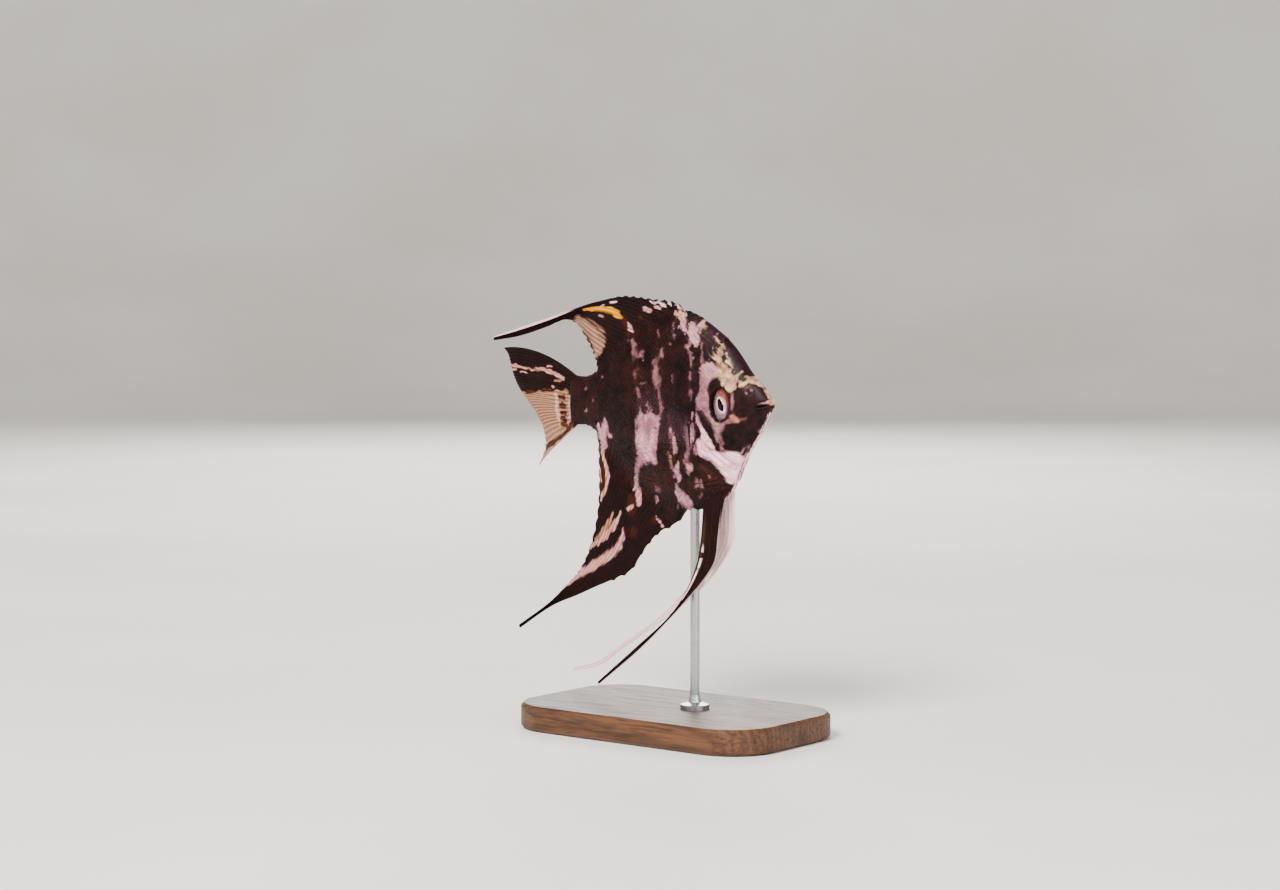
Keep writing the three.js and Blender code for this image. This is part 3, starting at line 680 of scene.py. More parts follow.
def skin_material(name, raggedness, scaly):
    material, tree, shader = new_material(name)
    place = object_coordinates(tree)
    blotches = noise(tree, place, 260, 5, 0.6)
    dapples = noise(tree, place, 620, 4, 0.6)
    fine = noise(tree, place, 1500, 4, 0.65)

    def tinted(first, second, texture=dapples):
        return mixed(tree, between(tree, texture, 0.0, 1.0, 0.34, 0.66), first, second)

    base = tinted(colour(20, 9, 9), colour(42, 20, 18), blotches)
    base = marked_colour(tree, base, [
        ("rust", 1.6, tinted(colour(40, 20, 17), colour(58, 31, 25))),
        # The violet layer is painted sheen on the dark skin.
        ("violet_sheen", 1.4, tinted(colour(24, 12, 17), colour(44, 25, 34))),
        ("dusky", 1.8, tinted(colour(112, 74, 78), colour(150, 104, 108))),
        ("pale", 1.9, tinted(colour(150, 100, 110), colour(208, 154, 162), blotches)),
        ("cream", 1.9, tinted(colour(140, 100, 76), colour(210, 168, 134))),
        ("black", 0.8, tinted(colour(13, 6, 6), colour(36, 19, 18))),
        ("orange", 1.5, tinted(colour(176, 104, 80), colour(206, 134, 106))),
        ("white", 1.7, tinted(colour(228, 160, 180), colour(255, 202, 218), blotches)),
    ], fine, raggedness)
    base = mixed(tree, between(tree, fine, 0.0, 0.35, 0.55, 0.8), base, colour(30, 20, 22), "MULTIPLY")
    if scaly:
        # Each plate takes a lilac painted sheen of its own random strength, and is darker round its edge
        # than on its dome: partly the scales' pinkish outline, partly a painted highlight on the dome.
        tone = between(tree, carried(tree, "tone"), 0.0, 0.30)
        base = mixed(tree, tone, base, colour(120, 92, 104), "SOFT_LIGHT")
        rim = between(tree, carried(tree, "rim"), 0.0, 0.42, 0.3, 1.0)
        base = mixed(tree, rim, base, colour(70, 40, 48), "MULTIPLY")
    surface(tree, shader, base, between(tree, fine, 0.40, 0.56, 0.3, 0.75), 0.10)
    bumped(tree, shader, fine, 0.00006, 0.6)
    return material


nose = (snout_x - coat_depth * 1.2, 0.0, axis_z + widest_line(first_station) * share)
tail_end = (station_x[-1], 0.0, axis_z + widest_line(1.0) * share)
skin_points = np.vstack([skin.reshape(-1, 3), [nose, tail_end]])
skin_faces = ring_faces(stations, ring_steps)
skin_corners = []
for row in range(stations - 1):
    for step in range(ring_steps):
        skin_corners += [(row, step), (row, step + 1), (row + 1, step + 1), (row + 1, step)]
for tip, row in ((len(skin_points) - 2, 0), (len(skin_points) - 1, stations - 1)):
    for step in range(ring_steps):
        after = (step + 1) % ring_steps
        first, second = (step, after) if row else (after, step)
        skin_faces.append((row * ring_steps + first, row * ring_steps + second, tip))
        skin_corners += [(row, step), (row, step + 1), (row, step + 0.5)]


def set_uv(made, layer, corner_uv):
    uv = made.data.uv_layers.new(name=layer)
    uv.data.foreach_set("uv", np.asarray(corner_uv, np.float32).ravel())


def set_marks(made, marks):
    """Lets a mesh carry one number a point under each name."""
    for name, values in marks.items():
        attribute = made.data.attributes.new(name, "FLOAT", "POINT")
        attribute.data.foreach_set("value", np.asarray(values, np.float32).ravel())


def facing_out(points, faces):
    """The faces, turned round if together they enclose less than nothing."""
    triangles = [face[:3] for face in faces] + [(face[0], *face[2:4]) for face in faces if len(face) == 4]
    a, b, c = np.asarray(points)[np.array(triangles)].transpose(1, 0, 2)
    volume = (a * np.cross(b, c)).sum()
    return faces if volume > 0 else [face[::-1] for face in faces]


def unwrap_spot(row, step):
    """The place on the flat-laid skin of a grid row and a step round the ring, each from 0 to 1."""
    return 0.01 + 0.98 * (row / (stations - 1)), 0.01 + 0.98 * step / ring_steps


skin_rows, skin_steps = np.array(skin_corners, float).T
marble_tear = 0.35
marbled_skin = skin_material("marbled_skin", marble_tear, False)
fish_skin = mesh_object("skin", (skin_points * millimetre).tolist(), skin_faces, marbled_skin)
set_uv(fish_skin, "OFBake", np.stack(unwrap_spot(skin_rows, skin_steps), -1))
set_marks(fish_skin, body_marks(*skin_points.T))
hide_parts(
    "head", "upper_jaw", "lower_jaw", "gill_cover_right", "gill_cover_left", "trunk",
    "tail_stem",
)
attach(fish_skin, "root")

# ---- Scales ---------------------------------------------------------------------------------------------
# Thin bony plates lie over one another like roof tiles, rooted in the skin with their free edge to the
# tail. They are large on the flank, smaller on the tail stem, and small and nearly flush on the head. The
# skin's pattern runs on over them.


def set_vectors(made, name, values):
    """Lets a mesh carry a vector at each point."""
    attribute = made.data.attributes.new(name, "FLOAT_VECTOR", "POINT")
    attribute.data.foreach_set("vector", np.asarray(values, np.float32).ravel())


def plate_mesh(name, length, width, thickness):
    """One scale: a domed plate, its root at the origin and its round free edge towards +X."""
    edge = [(-0.30, 0.26), (0.05, 0.46), (0.42, 0.5), (0.76, 0.36), (0.95, 0.16), (1.0, 0.0)]
    edge = [(x, -y) for x, y in edge] + [(x, y) for x, y in edge[-2::-1]]
    outer = [(x * length, y * width, 0.0) for x, y in edge]
    inner = [(length * (0.35 + (x - 0.35) * 0.78), y * width * 0.74, thickness) for x, y in edge]
    crown = [(0.35 * length, 0.0, thickness * 1.25)]
    count = len(edge)
    faces = []
    for i in range(count):
        after = (i + 1) % count
        faces.append((i, after, count + after, count + i))
        faces.append((count + i, count + after, 2 * count))
    faces += [(0, i + 1, i) for i in range(1, count - 1)]
    points = np.array(outer + inner + crown)
    made = mesh_object(name, (points * millimetre).tolist(), facing_out(points, faces))
    set_marks(made, {"rim": [1.0] * count + [0.35] * count + [0.0]})
    set_vectors(made, "plate_spot", [(x / length - 0.35, y / width, 0) for x, y, z in points])
    return made


def coat_tree():
    """Geometry Nodes that lay a plate on every root, along its lie, and join them all."""
    tree = bpy.data.node_groups.new("lay_plates", "GeometryNodeTree")
    sockets = {}
    for name, kind in (
        ("Roots", "Geometry"), ("Plate", "Object"), ("Lift", "Float"), ("Lift variation", "Float"),
        ("Patch size", "Float"), ("Finish", "Material"),
    ):
        socket = tree.interface.new_socket(name=name, in_out="INPUT", socket_type="NodeSocket" + kind)
        sockets[name] = socket.identifier
    tree.interface.new_socket(name="Coat", in_out="OUTPUT", socket_type="NodeSocketGeometry")
    link = tree.links.new
    given = add_node(tree, "NodeGroupInput")
    result = add_node(tree, "NodeGroupOutput")

    def named(attribute):
        node = add_node(tree, "GeometryNodeInputNamedAttribute", data_type="FLOAT_VECTOR")
        node.inputs["Name"].default_value = attribute
        return node.outputs["Attribute"]

    facing = add_node(tree, "FunctionNodeAxesToRotation", primary_axis="Z", secondary_axis="X")
    link(named("facing"), facing.inputs["Primary Axis"])
    link(named("lie"), facing.inputs["Secondary Axis"])
    chance = add_node(tree, "FunctionNodeRandomValue", data_type="FLOAT_VECTOR", inputs={
        "Min": (-1, -1, -1), "Max": (1, 1, 1), "Seed": 7,
    })
    wobble = add_node(tree, "ShaderNodeVectorMath", operation="SCALE")
    link(chance.outputs[0], wobble.inputs[0])
    link(given.outputs["Lift variation"], wobble.inputs["Scale"])
    lift = add_node(tree, "ShaderNodeCombineXYZ")
    link(maths(tree, "MULTIPLY", given.outputs["Lift"], -1.0), lift.inputs["Y"])
    tilt = add_node(tree, "ShaderNodeVectorMath", operation="ADD")
    link(lift.outputs[0], tilt.inputs[0])
    link(wobble.outputs[0], tilt.inputs[1])
    turned = add_node(tree, "FunctionNodeRotateRotation", rotation_space="LOCAL")
    link(facing.outputs[0], turned.inputs[0])
    link(tilt.outputs[0], turned.inputs[1])

    plate = add_node(tree, "GeometryNodeObjectInfo", transform_space="ORIGINAL")
    link(given.outputs["Plate"], plate.inputs["Object"])
    laid = add_node(tree, "GeometryNodeInstanceOnPoints")
    link(given.outputs["Roots"], laid.inputs["Points"])
    link(plate.outputs["Geometry"], laid.inputs["Instance"])
    link(turned.outputs[0], laid.inputs["Rotation"])
    link(named("size"), laid.inputs["Scale"])
    joined = add_node(tree, "GeometryNodeRealizeInstances")
    link(laid.outputs[0], joined.inputs[0])

    # Each plate is a small patch of the flat-laid skin, at its root's place there.
    patch = add_node(tree, "ShaderNodeVectorMath", operation="MULTIPLY_ADD")
    link(named("plate_spot"), patch.inputs[0])
    link(given.outputs["Patch size"], patch.inputs[1])
    link(named("patch"), patch.inputs[2])
    stored = add_node(tree, "GeometryNodeStoreNamedAttribute", data_type="FLOAT2", domain="CORNER", inputs={
        "Name": "OFBake",
    })
    link(joined.outputs[0], stored.inputs["Geometry"])
    link(patch.outputs[0], stored.inputs["Value"])
    finished = add_node(tree, "GeometryNodeSetMaterial")
    link(stored.outputs[0], finished.inputs["Geometry"])
    link(given.outputs["Finish"], finished.inputs["Material"])
    link(finished.outputs[0], result.inputs[0])
    return tree, sockets


lay_plates, lay_sockets = coat_tree()


def side_profile(x, side):
    """The skin down one side at one x: its row, arcs above the widest line, points, normals and steps."""
    station = math.sqrt((snout_x - coat_depth - x) / flesh_length)
    row = (station - first_station) / (1 - first_station) * (stations - 1)
    low = min(max(int(row), 0), stations - 2)
    part = row - low
    steps = np.arange(side_steps + 1)
    columns = steps if side < 0 else (ring_steps - steps) % ring_steps

    def blend(grid):
        return grid[low] * (1 - part) + grid[low + 1] * part

    return row, blend(side_arc), blend(skin[:, columns]), blend(skin_normal[:, columns]), steps


def pick(profile, arc):
    """The point, normal and step of a side profile at an arc above the widest line."""
    row, arcs, points, normals, steps = profile
    step = np.interp(-arc, -arcs, steps)
    low = min(int(step), side_steps - 1)
    part = step - low
    point = points[low] * (1 - part) + points[low + 1] * part
    normal = normals[low] * (1 - part) + normals[low + 1] * part
    return point, normal / np.linalg.norm(normal), step


gill_top = 16
stem_start = 83
stem_end = 97.5


def behind_front(back, up):
    """How far a place lies behind where the flank's scales start: the gill opening, then the nape."""
    return back - (gill_line(up) + 1.0 if up < gill_top else 26.5 + 0.1 * (up - gill_top))


def flank_scaled(back, up):
    return behind_front(back, up) > 0 and back < stem_start


def stem_scaled(back, up):
    return stem_start <= back < stem_end


def head_scaled(back, up):
    """The cheek and the nape, but not the snout, the chin, the eye's rim or the gill opening's groove."""
    near_eye = from_eye(snout_x - back * share, axis_z + up * share) < eye_reach[1] + 1.0
    in_groove = abs(back - gill_line(up)) < 0.9 and up < 15
    if back > 34 or near_eye or in_groove or flank_scaled(back, up):
        return False
    if up > 5:
        return back > 19.5 + 0.12 * (up - 5)
    return back > 15.5 + 0.10 * (up + 5) and up > -24


dice = np.random.default_rng(11)
clear_of_ridge = 0.22
row_gap_share = 0.52


def scale_roots(side, pitch, scaled, from_x, to_x):
    """Rows of roots half a pitch apart, every second row half a pitch back, where the region is scaled."""
    rows = []
    row_gap = pitch * row_gap_share
    columns = int((from_x - to_x) / (pitch / 2))
    for column in range(columns):
        x = from_x - column * pitch / 2
        profile = side_profile(x, side)
        behind = side_profile(x - 0.3, side)
        top = profile[1][0] - clear_of_ridge
        bottom = profile[1][-1] + clear_of_ridge
        first = math.ceil(bottom / row_gap)
        last = math.floor(top / row_gap)
        for line in range(first, last + 1):
            if (line + column) % 2:
                continue
            arc = (line + dice.uniform(-0.05, 0.05)) * row_gap
            point, normal, step = pick(profile, arc)
            back = (snout_x - point[0]) / share
            up = (point[2] - axis_z) / share
            if not scaled(back, up):
                continue
            lie = pick(behind, arc)[0] - point
            size = pitch * (0.72 + 0.28 * smooth(0, 2.0, min(top - arc, arc - bottom)))
            if scaled is flank_scaled:
                size *= 0.6 + 0.4 * smooth(0, 3.5, behind_front(back, up))
            turned_step = step if side < 0 else ring_steps - step
            patch = unwrap_spot(profile[0], turned_step)
            rows.append((*point, *normal, *lie, size, *patch, dice.uniform()))
    return np.array(rows)


scale_skin = skin_material("marbled_scales", marble_tear, True)
flank_plate = plate_mesh("flank_plate", length=1.32, width=1.18, thickness=0.035)
head_plate = plate_mesh("head_plate", length=1.25, width=1.16, thickness=0.02)
lift_variation = math.radians(1.6)
patch_size = 0.003


def coat_piece(name, roots, plate, lift, own_marks=None):
    """Plates over all the roots as one plain mesh, with the body's marks and any that its roots bring."""
    own_marks = own_marks or {}
    point, normal, lie, size, patch, tone = np.split(roots, [3, 6, 9, 10, 12], axis=1)
    source = mesh_object(name + "_roots", (point * millimetre).tolist(), [])
    set_vectors(source, "facing", normal)
    set_vectors(source, "lie", lie)
    set_vectors(source, "size", np.repeat(size, 3, axis=1))
    set_vectors(source, "patch", np.pad(patch, ((0, 0), (0, 1))))
    set_marks(source, {"tone": tone, **own_marks})

    layer = source.modifiers.new("lay_plates", "NODES")
    layer.node_group = lay_plates
    for socket, value in (
        ("Plate", plate), ("Lift", math.radians(lift)), ("Lift variation", lift_variation),
        ("Patch size", patch_size), ("Finish", scale_skin),
    ):
        layer[lay_sockets[socket]] = value
    bpy.context.view_layer.update()
    evaluated = source.evaluated_get(bpy.context.evaluated_depsgraph_get())
    coat = bpy.data.objects.new(name, bpy.data.meshes.new_from_object(evaluated))
    bpy.context.scene.collection.objects.link(coat)
    source.modifiers.clear()
    bpy.data.objects.remove(source)
    attributes = coat.data.attributes
    for attribute in ("facing", "lie", "size", "patch", "plate_spot"):
        if attribute in attributes:
            attributes.remove(attributes[attribute])
    count = len(coat.data.vertices)
    spots = np.empty(count * 3, np.float32)
    coat.data.vertices.foreach_get("co", spots)
    marks = body_marks(*(spots.reshape(-1, 3).T * 1000))
    for mark in own_marks:
        own = np.empty(count, np.float32)
        attributes[mark].data.foreach_get("value", own)
        attributes.remove(attributes[mark])
        marks[mark] = np.maximum(marks[mark], own)
    set_marks(coat, marks)
    coat.data.shade_smooth()
    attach(coat, "root")


both_sides = (("right", -1), ("left", 1))
for side_name, side in both_sides:
    for coat_name, pitch, scaled, from_x, to_x, plate, lift in (
        ("flank_scales", 1.12, flank_scaled, 16.0, -21.5, flank_plate, 5.0),
        ("stem_scales", 0.85, stem_scaled, -20.0, -29.5, flank_plate, 5.0),
        ("head_scales", 0.8, head_scaled, 20.0, 7.0, head_plate, 2.5),
    ):
        roots = scale_roots(side, pitch, scaled, from_x, to_x)
        coat_piece(f"{coat_name}_{side_name}", roots, plate, lift)

# ---- Eyes -----------------------------------------------------------------------------------------------
# Each eye is a ball set deep in its socket: a dark lens in an oval pupil, a silver ring round it, an iris
# that is rust above and lilac below, a dark rim, and a clear cornea domed over the whole.

# The iris lies this far out from the fish's middle.
eye_level = 4.12
eye_turn = math.radians(7)
pupil_reach = (0.8, 1.52)
pupil_lean = math.radians(27)
eye_rings = 56
eye_sides = 96


def eye_frame(side):
    """The iris's centre, and its forward, upward and outward directions."""
    centre = np.array([eye_x + 0.15, side * eye_level, eye_z])
    ahead = np.array([math.cos(eye_turn), side * math.sin(eye_turn), 0.0])
    outward = np.array([-math.sin(eye_turn), side * math.cos(eye_turn), 0.0])
    return centre, ahead, np.array([0.0, 0.0, 1.0]), outward


def eye_surface(name, side, profile, material):
    """A closed body of rings. The profile gives a share of the eye's reach and a height for every ring."""
    centre, ahead, above, outward = eye_frame(side)
    points = []
    spots = []
    for reach, height in profile:
        for turn in np.arange(eye_sides) * 2 * math.pi / eye_sides:
            u = reach * math.cos(turn) * eye_reach[0]
            v = reach * math.sin(turn) * eye_reach[1]
            points.append(centre + ahead * u + above * v + outward * height)
            spots.append((u, v, 0.0))
    for pole in (0, -1):
        points.append(centre + outward * profile[pole][1])
        spots.append((0.0, 0.0, 0.0))
    faces = ring_faces(len(profile), eye_sides)
    last = (len(profile) - 1) * eye_sides
    for step in range(eye_sides):
        after = (step + 1) % eye_sides
        faces.append((after, step, len(points) - 2))
        faces.append((last + step, last + after, len(points) - 1))
    points = np.array(points)
    made = mesh_object(name, (points * millimetre).tolist(), facing_out(points, faces), material)
    set_vectors(made, "iris_spot", spots)
    return made


iris_skin, tree, shader = new_material("iris")
link = tree.links.new
spot = carried(tree, "iris_spot", "Vector")
leaning = add_node(tree, "ShaderNodeMapping", inputs={"Rotation": (0, 0, -pupil_lean)})
link(spot, leaning.inputs["Vector"])


def from_oval(centre, reach, place=spot):
    """Distance from the middle of an oval on the iris, as a share of the oval's two half widths."""
    moved = add_node(tree, "ShaderNodeMapping", inputs={
        "Location": (-centre[0] / reach[0], -centre[1] / reach[1], 0),
        "Scale": (1 / reach[0], 1 / reach[1], 1),
    })
    link(place, moved.inputs["Vector"])
    length = add_node(tree, "ShaderNodeVectorMath", operation="LENGTH")
    link(moved.outputs[0], length.inputs[0])
    return length.outputs["Value"]


axes = add_node(tree, "ShaderNodeSeparateXYZ")
link(spot, axes.inputs[0])
radial = add_node(tree, "ShaderNodeVectorMath", operation="NORMALIZE")
link(spot, radial.inputs[0])
fibres = noise(tree, radial.outputs[0], 7, 4, 0.7)
mottle = noise(tree, spot, 1.6, 4, 0.6)

# From the outside in: the dark rim, the iris with rust above and lilac below, the silver ring, the pupil.
rim_tint = mixed(tree, mottle, colour(22, 10, 14), colour(46, 24, 34))
lower_tint = mixed(tree, mottle, colour(84, 50, 70), colour(146, 102, 128))
upper_tint = mixed(tree, mottle, colour(78, 38, 28), colour(148, 90, 66))
iris_tint = mixed(tree, between(tree, axes.outputs["Y"], 0.0, 1.0, -0.6, 1.4), lower_tint, upper_tint)
iris_tint = mixed(tree, between(tree, fibres, 0.4, 0.0, 0.35, 0.6), iris_tint, colour(52, 28, 30))
arc = between(tree, from_oval((-0.22, -0.35), (2.1, 3.75)), 0.0, 0.85, 0.88, 1.0)
iris_tint = mixed(tree, arc, iris_tint, colour(74, 32, 26))
rim = between(tree, from_oval((0.0, 0.1), (2.42, 3.75)), 0.0, 1.0, 0.8, 0.95)
iris_tint = mixed(tree, rim, iris_tint, rim_tint)
ring = between(tree, from_oval((-0.05, -0.1), (1.7, 2.1)), 1.0, 0.0, 0.82, 1.06)
ring_tint = mixed(tree, mottle, colour(132, 86, 110), colour(186, 138, 160))
blush = between(tree, from_oval((1.3, 1.4), (1.4, 1.7)), 0.9, 0.0, 0.5, 1.1)
ring_tint = mixed(tree, blush, ring_tint, colour(200, 112, 96))
iris_tint = mixed(tree, ring, iris_tint, ring_tint)
from_pupil = from_oval((0, 0), pupil_reach, leaning.outputs[0])
bright = between(tree, from_pupil, 0.9, 0.0, 1.05, 1.5)
iris_tint = mixed(tree, bright, iris_tint, colour(236, 204, 220))
pupil_share = between(tree, from_pupil, 1.0, 0.0, 0.97, 1.1)
iris_tint = mixed(tree, pupil_share, iris_tint, colour(3, 2, 6))
surface(tree, shader, iris_tint, between(tree, pupil_share, 0.4, 0.2), 0.15)
bumped(tree, shader, fibres, 0.00005, 0.5)

# Wet glass is mirror at a slant and clear straight on, so the two are mixed by the angle.
cornea_skin, tree, shader = new_material("cornea")
surface(tree, shader, (1, 1, 1, 1), 0.02)
shader.inputs["Metallic"].default_value = 1.0
smear = noise(tree, object_coordinates(tree), 900, 2)
bumped(tree, shader, smear, 0.00001, 0.2)
clear = add_node(tree, "ShaderNodeBsdfTransparent")
gloss = add_node(tree, "ShaderNodeFresnel", inputs={"IOR": 1.3})
over = add_node(tree, "ShaderNodeMixShader")
tree.links.new(between(tree, gloss.outputs[0], 0.0, 0.12, 0.0, 1.0), over.inputs[0])
tree.links.new(clear.outputs[0], over.inputs[1])
tree.links.new(shader.outputs[0], over.inputs[2])
tree.links.new(over.outputs[0], tree.nodes["Material Output"].inputs["Surface"])

ball_profile = []
for part in np.linspace(0.02, 1, eye_rings):
    lens = 0.26 * fading(0.30, 0.37, part) * math.sqrt(max(0.0, 1 - (part / 0.42) ** 2))
    ring_rise = 0.07 * math.exp(-(((part - 0.45) / 0.07) ** 2))
    ball_profile.append((part, lens + ring_rise + 0.10 - 0.42 * part**2))
ball_profile += [(1.0, -0.7), (0.96, -1.2), (0.8, -2.0), (0.5, -2.6), (0.1, -2.9)]
cornea_profile = [
    (part, 0.42 + 0.34 * math.sqrt(1 - (0.9 * part) ** 2) - 0.36 * part**4)
    for part in np.linspace(0.02, 0.97, 24)
]
cornea_profile += [(0.99, 0.02), (1.0, -0.2), (0.985, -0.34), (0.95, -0.16)]
cornea_profile += [(part, height - 0.09) for part, height in cornea_profile[-5:0:-1]]

for side_name, side in both_sides:
    ball = eye_surface(f"eye_ball_{side_name}", side, ball_profile, iris_skin)
    cornea = eye_surface(f"eye_cornea_{side_name}", side, cornea_profile, cornea_skin)
    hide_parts(f"eye_{side_name}")
    for piece in (ball, cornea):
        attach(piece, "root")

# ---- Dorsal fin -----------------------------------------------------------------------------------------
# A sail of skin on bony rays: short stiff spines in front, whose tips notch the crest, and long soft rays
# behind that run out into a filament. It is smoky black with a yellow flame, and clear at its hind edge.


def place(back, up):
    """The x and z of a spot given in hundredths of the body's length."""
    return np.stack([snout_x - back * share, axis_z + up * share], -1)


def swept_spots(leading, trailing, across, outward):
    """Places on a fin between its leading and its trailing edge."""
    lead = leading(outward)
    trail = trailing(outward)
    both = lead + (trail - lead) * across[..., None]
    return place(both[..., 0], both[..., 1])


def fin_blade(name, spots, across, outward, sway, half, material, marks):
    """A closed blade over a grid of places, with its way to the left and half thickness at each."""
    rows, columns = across.shape
    count = rows * columns
    near = np.dstack([spots[..., 0], sway + half, spots[..., 1]])
    far = np.dstack([spots[..., 0], sway - half, spots[..., 1]])
    points = np.vstack([near.reshape(-1, 3), far.reshape(-1, 3)])
    index = np.arange(count).reshape(rows, columns)
    cells = np.dstack([index[:-1, :-1], index[1:, :-1], index[1:, 1:], index[:-1, 1:]]).reshape(-1, 4)
    faces = np.vstack([cells, cells[:, ::-1] + count])
    border = np.concatenate([index[0, :-1], index[:-1, -1], index[-1, :0:-1], index[:0:-1, 0]])
    after = np.roll(border, -1)
    faces = np.vstack([faces, np.stack([after, border, border + count, after + count], -1)])
    faces = facing_out(points, [tuple(face) for face in faces.tolist()])
    made = mesh_object(name, (points * millimetre).tolist(), faces, material)
    corner = np.array(faces).ravel()
    spot = corner % count
    # The two sides of the blade lie beside each other on the map.
    u = 0.01 + 0.48 * across.ravel()[spot] + 0.5 * (corner >= count)
    v = 0.01 + 0.98 * outward.ravel()[spot]
    set_uv(made, "OFBake", np.stack([u, v], -1))
    set_marks(made, {mark: np.tile(values.ravel(), 2) for mark, values in marks.items()})
    return made


def ray_share(across, outward, rays, middle, spread):
    """How near each place is to the middle of a ray. Rays fan out from the middle one to the edges."""
    ray = middle + (across - middle) / (1 + spread * outward)
    return (0.5 + 0.5 * np.cos(2 * math.pi * rays * ray)) ** 2


def fin_material(name, web, ray, web_clear, ray_clear):
    """Skin on rays: the colours of web and rays, and how clear each is in the fin's clear parts."""
    material, tree, shader = new_material(name)
    coordinates = object_coordinates(tree)
    cloudy = noise(tree, coordinates, 300, 5, 0.6)
    fine = noise(tree, coordinates, 1700, 4, 0.6)
    rays = carried(tree, "ray")
    base = mixed(tree, between(tree, cloudy, 0.0, 0.6, 0.35, 0.7), web, ray)
    base = mixed(tree, between(tree, rays, 0.0, 0.7, 0.35, 0.9), base, ray)
    streaked = between(tree, rays, 0.0, 1.0, 0.1, 0.8)
    film = mixed(tree, streaked, colour(128, 86, 62), colour(166, 120, 96))
    pale = mixed(tree, streaked, colour(160, 104, 94), colour(208, 148, 138))
    pale = mixed(tree, between(tree, cloudy, 0.0, 0.6, 0.4, 0.65), pale, colour(186, 134, 146))
    base = marked_colour(tree, base, [
        ("rust", 1.5, colour(50, 22, 17)),
        ("film", 1.7, film),
        ("pale", 1.6, pale),
        ("brown", 1.0, mixed(tree, streaked, colour(48, 22, 16), colour(78, 40, 26))),
        ("yellow", 1.5, mixed(tree, streaked, colour(192, 118, 0), colour(226, 154, 6))),
        ("white", 1.5, mixed(tree, streaked, colour(236, 190, 198), colour(255, 224, 227))),
    ], fine, 0.3)
    base = mixed(tree, between(tree, fine, 0.0, 0.3, 0.5, 0.8), base, colour(120, 96, 96), "MULTIPLY")
    surface(tree, shader, base, 0.5, 0.08)
    see_through = maths(
        tree, "MULTIPLY", carried(tree, "clear"), between(tree, rays, web_clear, ray_clear, 0.2, 0.9),
    )
    tree.links.new(maths(tree, "SUBTRACT", 1.0, see_through), shader.inputs["Alpha"])
    bumped(tree, shader, maths(tree, "ADD", fine, carried(tree, "joint")), 0.00006, 0.7)
    return material


dark_fin = fin_material(
    "smoky_fin_skin", web=colour(18, 8, 8), ray=colour(34, 15, 13), web_clear=0.4, ray_clear=0.14,
)


def fin_grid(rows, columns):
    """Shares across a fin from its leading edge and outward from its root, each from 0 to 1."""
    return np.meshgrid(np.linspace(0, 1, rows), np.linspace(0, 1, columns), indexing="ij")


def fin_marks(spots, across, outward, rays, joints, strokes):
    """All that a fin's material reads: its strokes, torn into streaks, and its rays with cross joints."""
    streak = 0.6 * drift(across, outward, 0.012, 0.12, 9) + 0.4 * drift(across, outward, 0.005, 0.04, 11)
    x, z = spots[..., 0], spots[..., 1]
    x = x + 0.5 * (drift(x, z, 1.1, 1.1, 13) - 0.5)
    z = z + 0.5 * (drift(x, z, 0.9, 0.9, 15) - 0.5)
    kinds = ("rust", "pale", "film", "yellow", "white", "brown", "clear")
    marks = {name: np.zeros(x.shape) for name in kinds}
    for name, drawn in strokes.items():
        soft = stroked(x, z, drawn, 0.6)
        torn = soft + 1.2 * (streak - 0.5) * smooth(0, 0.35, soft) * (1 - 0.3 * soft)
        marks[name] = (0.75 + 0.25 * streak) * np.clip(torn * 1.1 - 0.06, 0, 1)
    marks["ray"] = rays
    marks["joint"] = rays * (0.5 + 0.5 * np.sin(outward * joints * 5.0))
    return marks


sheath_pitch = 0.78


def sheath_roots(spots, sway, half, marks, depth, side):
    """Rows of roots over one side of a fin's base, smaller and fewer towards the depth, and their marks."""
    last_row, last_column = np.array(sway.shape) - 1
    blade = np.dstack([spots[..., 0], sway + side * half, spots[..., 1]])

    def sampled(grid, a, o):
        """What the grid has at shares a across and o outward."""
        row = np.clip(a, 0, 0.9999) * last_row
        column = np.clip(o, 0, 0.9999) * last_column
        i = row.astype(int)
        j = column.astype(int)
        s = row - i
        t = column - j
        if grid.ndim == 3:
            s = s[:, None]
            t = t[:, None]
        near = grid[i, j] * (1 - s) + grid[i + 1, j] * s
        far = grid[i, j + 1] * (1 - s) + grid[i + 1, j + 1] * s
        return near * (1 - t) + far * t

    pitch = sheath_pitch
    base_length = np.linalg.norm(blade[-1, 8] - blade[0, 8])
    first_steps = np.diff(blade[last_row // 2, :20], axis=0)
    blade_length = np.linalg.norm(first_steps, axis=1).sum() / (19 / last_column)
    lines = int(base_length / (pitch * row_gap_share))
    columns = int(depth * blade_length / (pitch * 0.5))
    line, column = np.meshgrid(np.arange(1, lines), np.arange(columns), indexing="ij")
    chosen = (line + column) % 2 == 0
    a = line[chosen] / lines
    o = column[chosen] / columns * depth
    luck = np.random.default_rng(17).uniform(size=(3, len(a)))
    a = a + 0.1 * (luck[0] - 0.5) / lines
    limit = 1.05 - 0.45 * drift(a * 40, o, 1, 1, 28) - 0.25 * luck[1] * smooth(0.5, 1, o / depth)
    kept = o / depth < limit
    a, o, luck = a[kept], o[kept], luck[:, kept]
    point = sampled(blade, a, o)
    lie = sampled(blade, a, o + 0.01) - point
    normal = np.cross(sampled(blade, a + 0.01, o) - sampled(blade, a - 0.01, o), lie)
    normal *= side * np.sign(normal[:, 1:2]) / np.linalg.norm(normal, axis=1, keepdims=True)
    size = pitch * (1 - 0.4 * o / depth) * (0.92 + 0.16 * luck[2])
    patch = np.stack([0.01 + 0.48 * a + 0.5 * (side < 0), 0.01 + 0.98 * o], -1)
    roots = np.column_stack([point, normal, lie, size, patch, luck[2]])
    return roots, {name: sampled(marks[name], a, o) for name in ("rust", "pale", "white")}


def waved(outward, waves, sharpness=2):
    """Ridges from 0 to 1 along an edge."""
    return (0.5 + 0.5 * np.sin(outward * waves)) ** sharpness


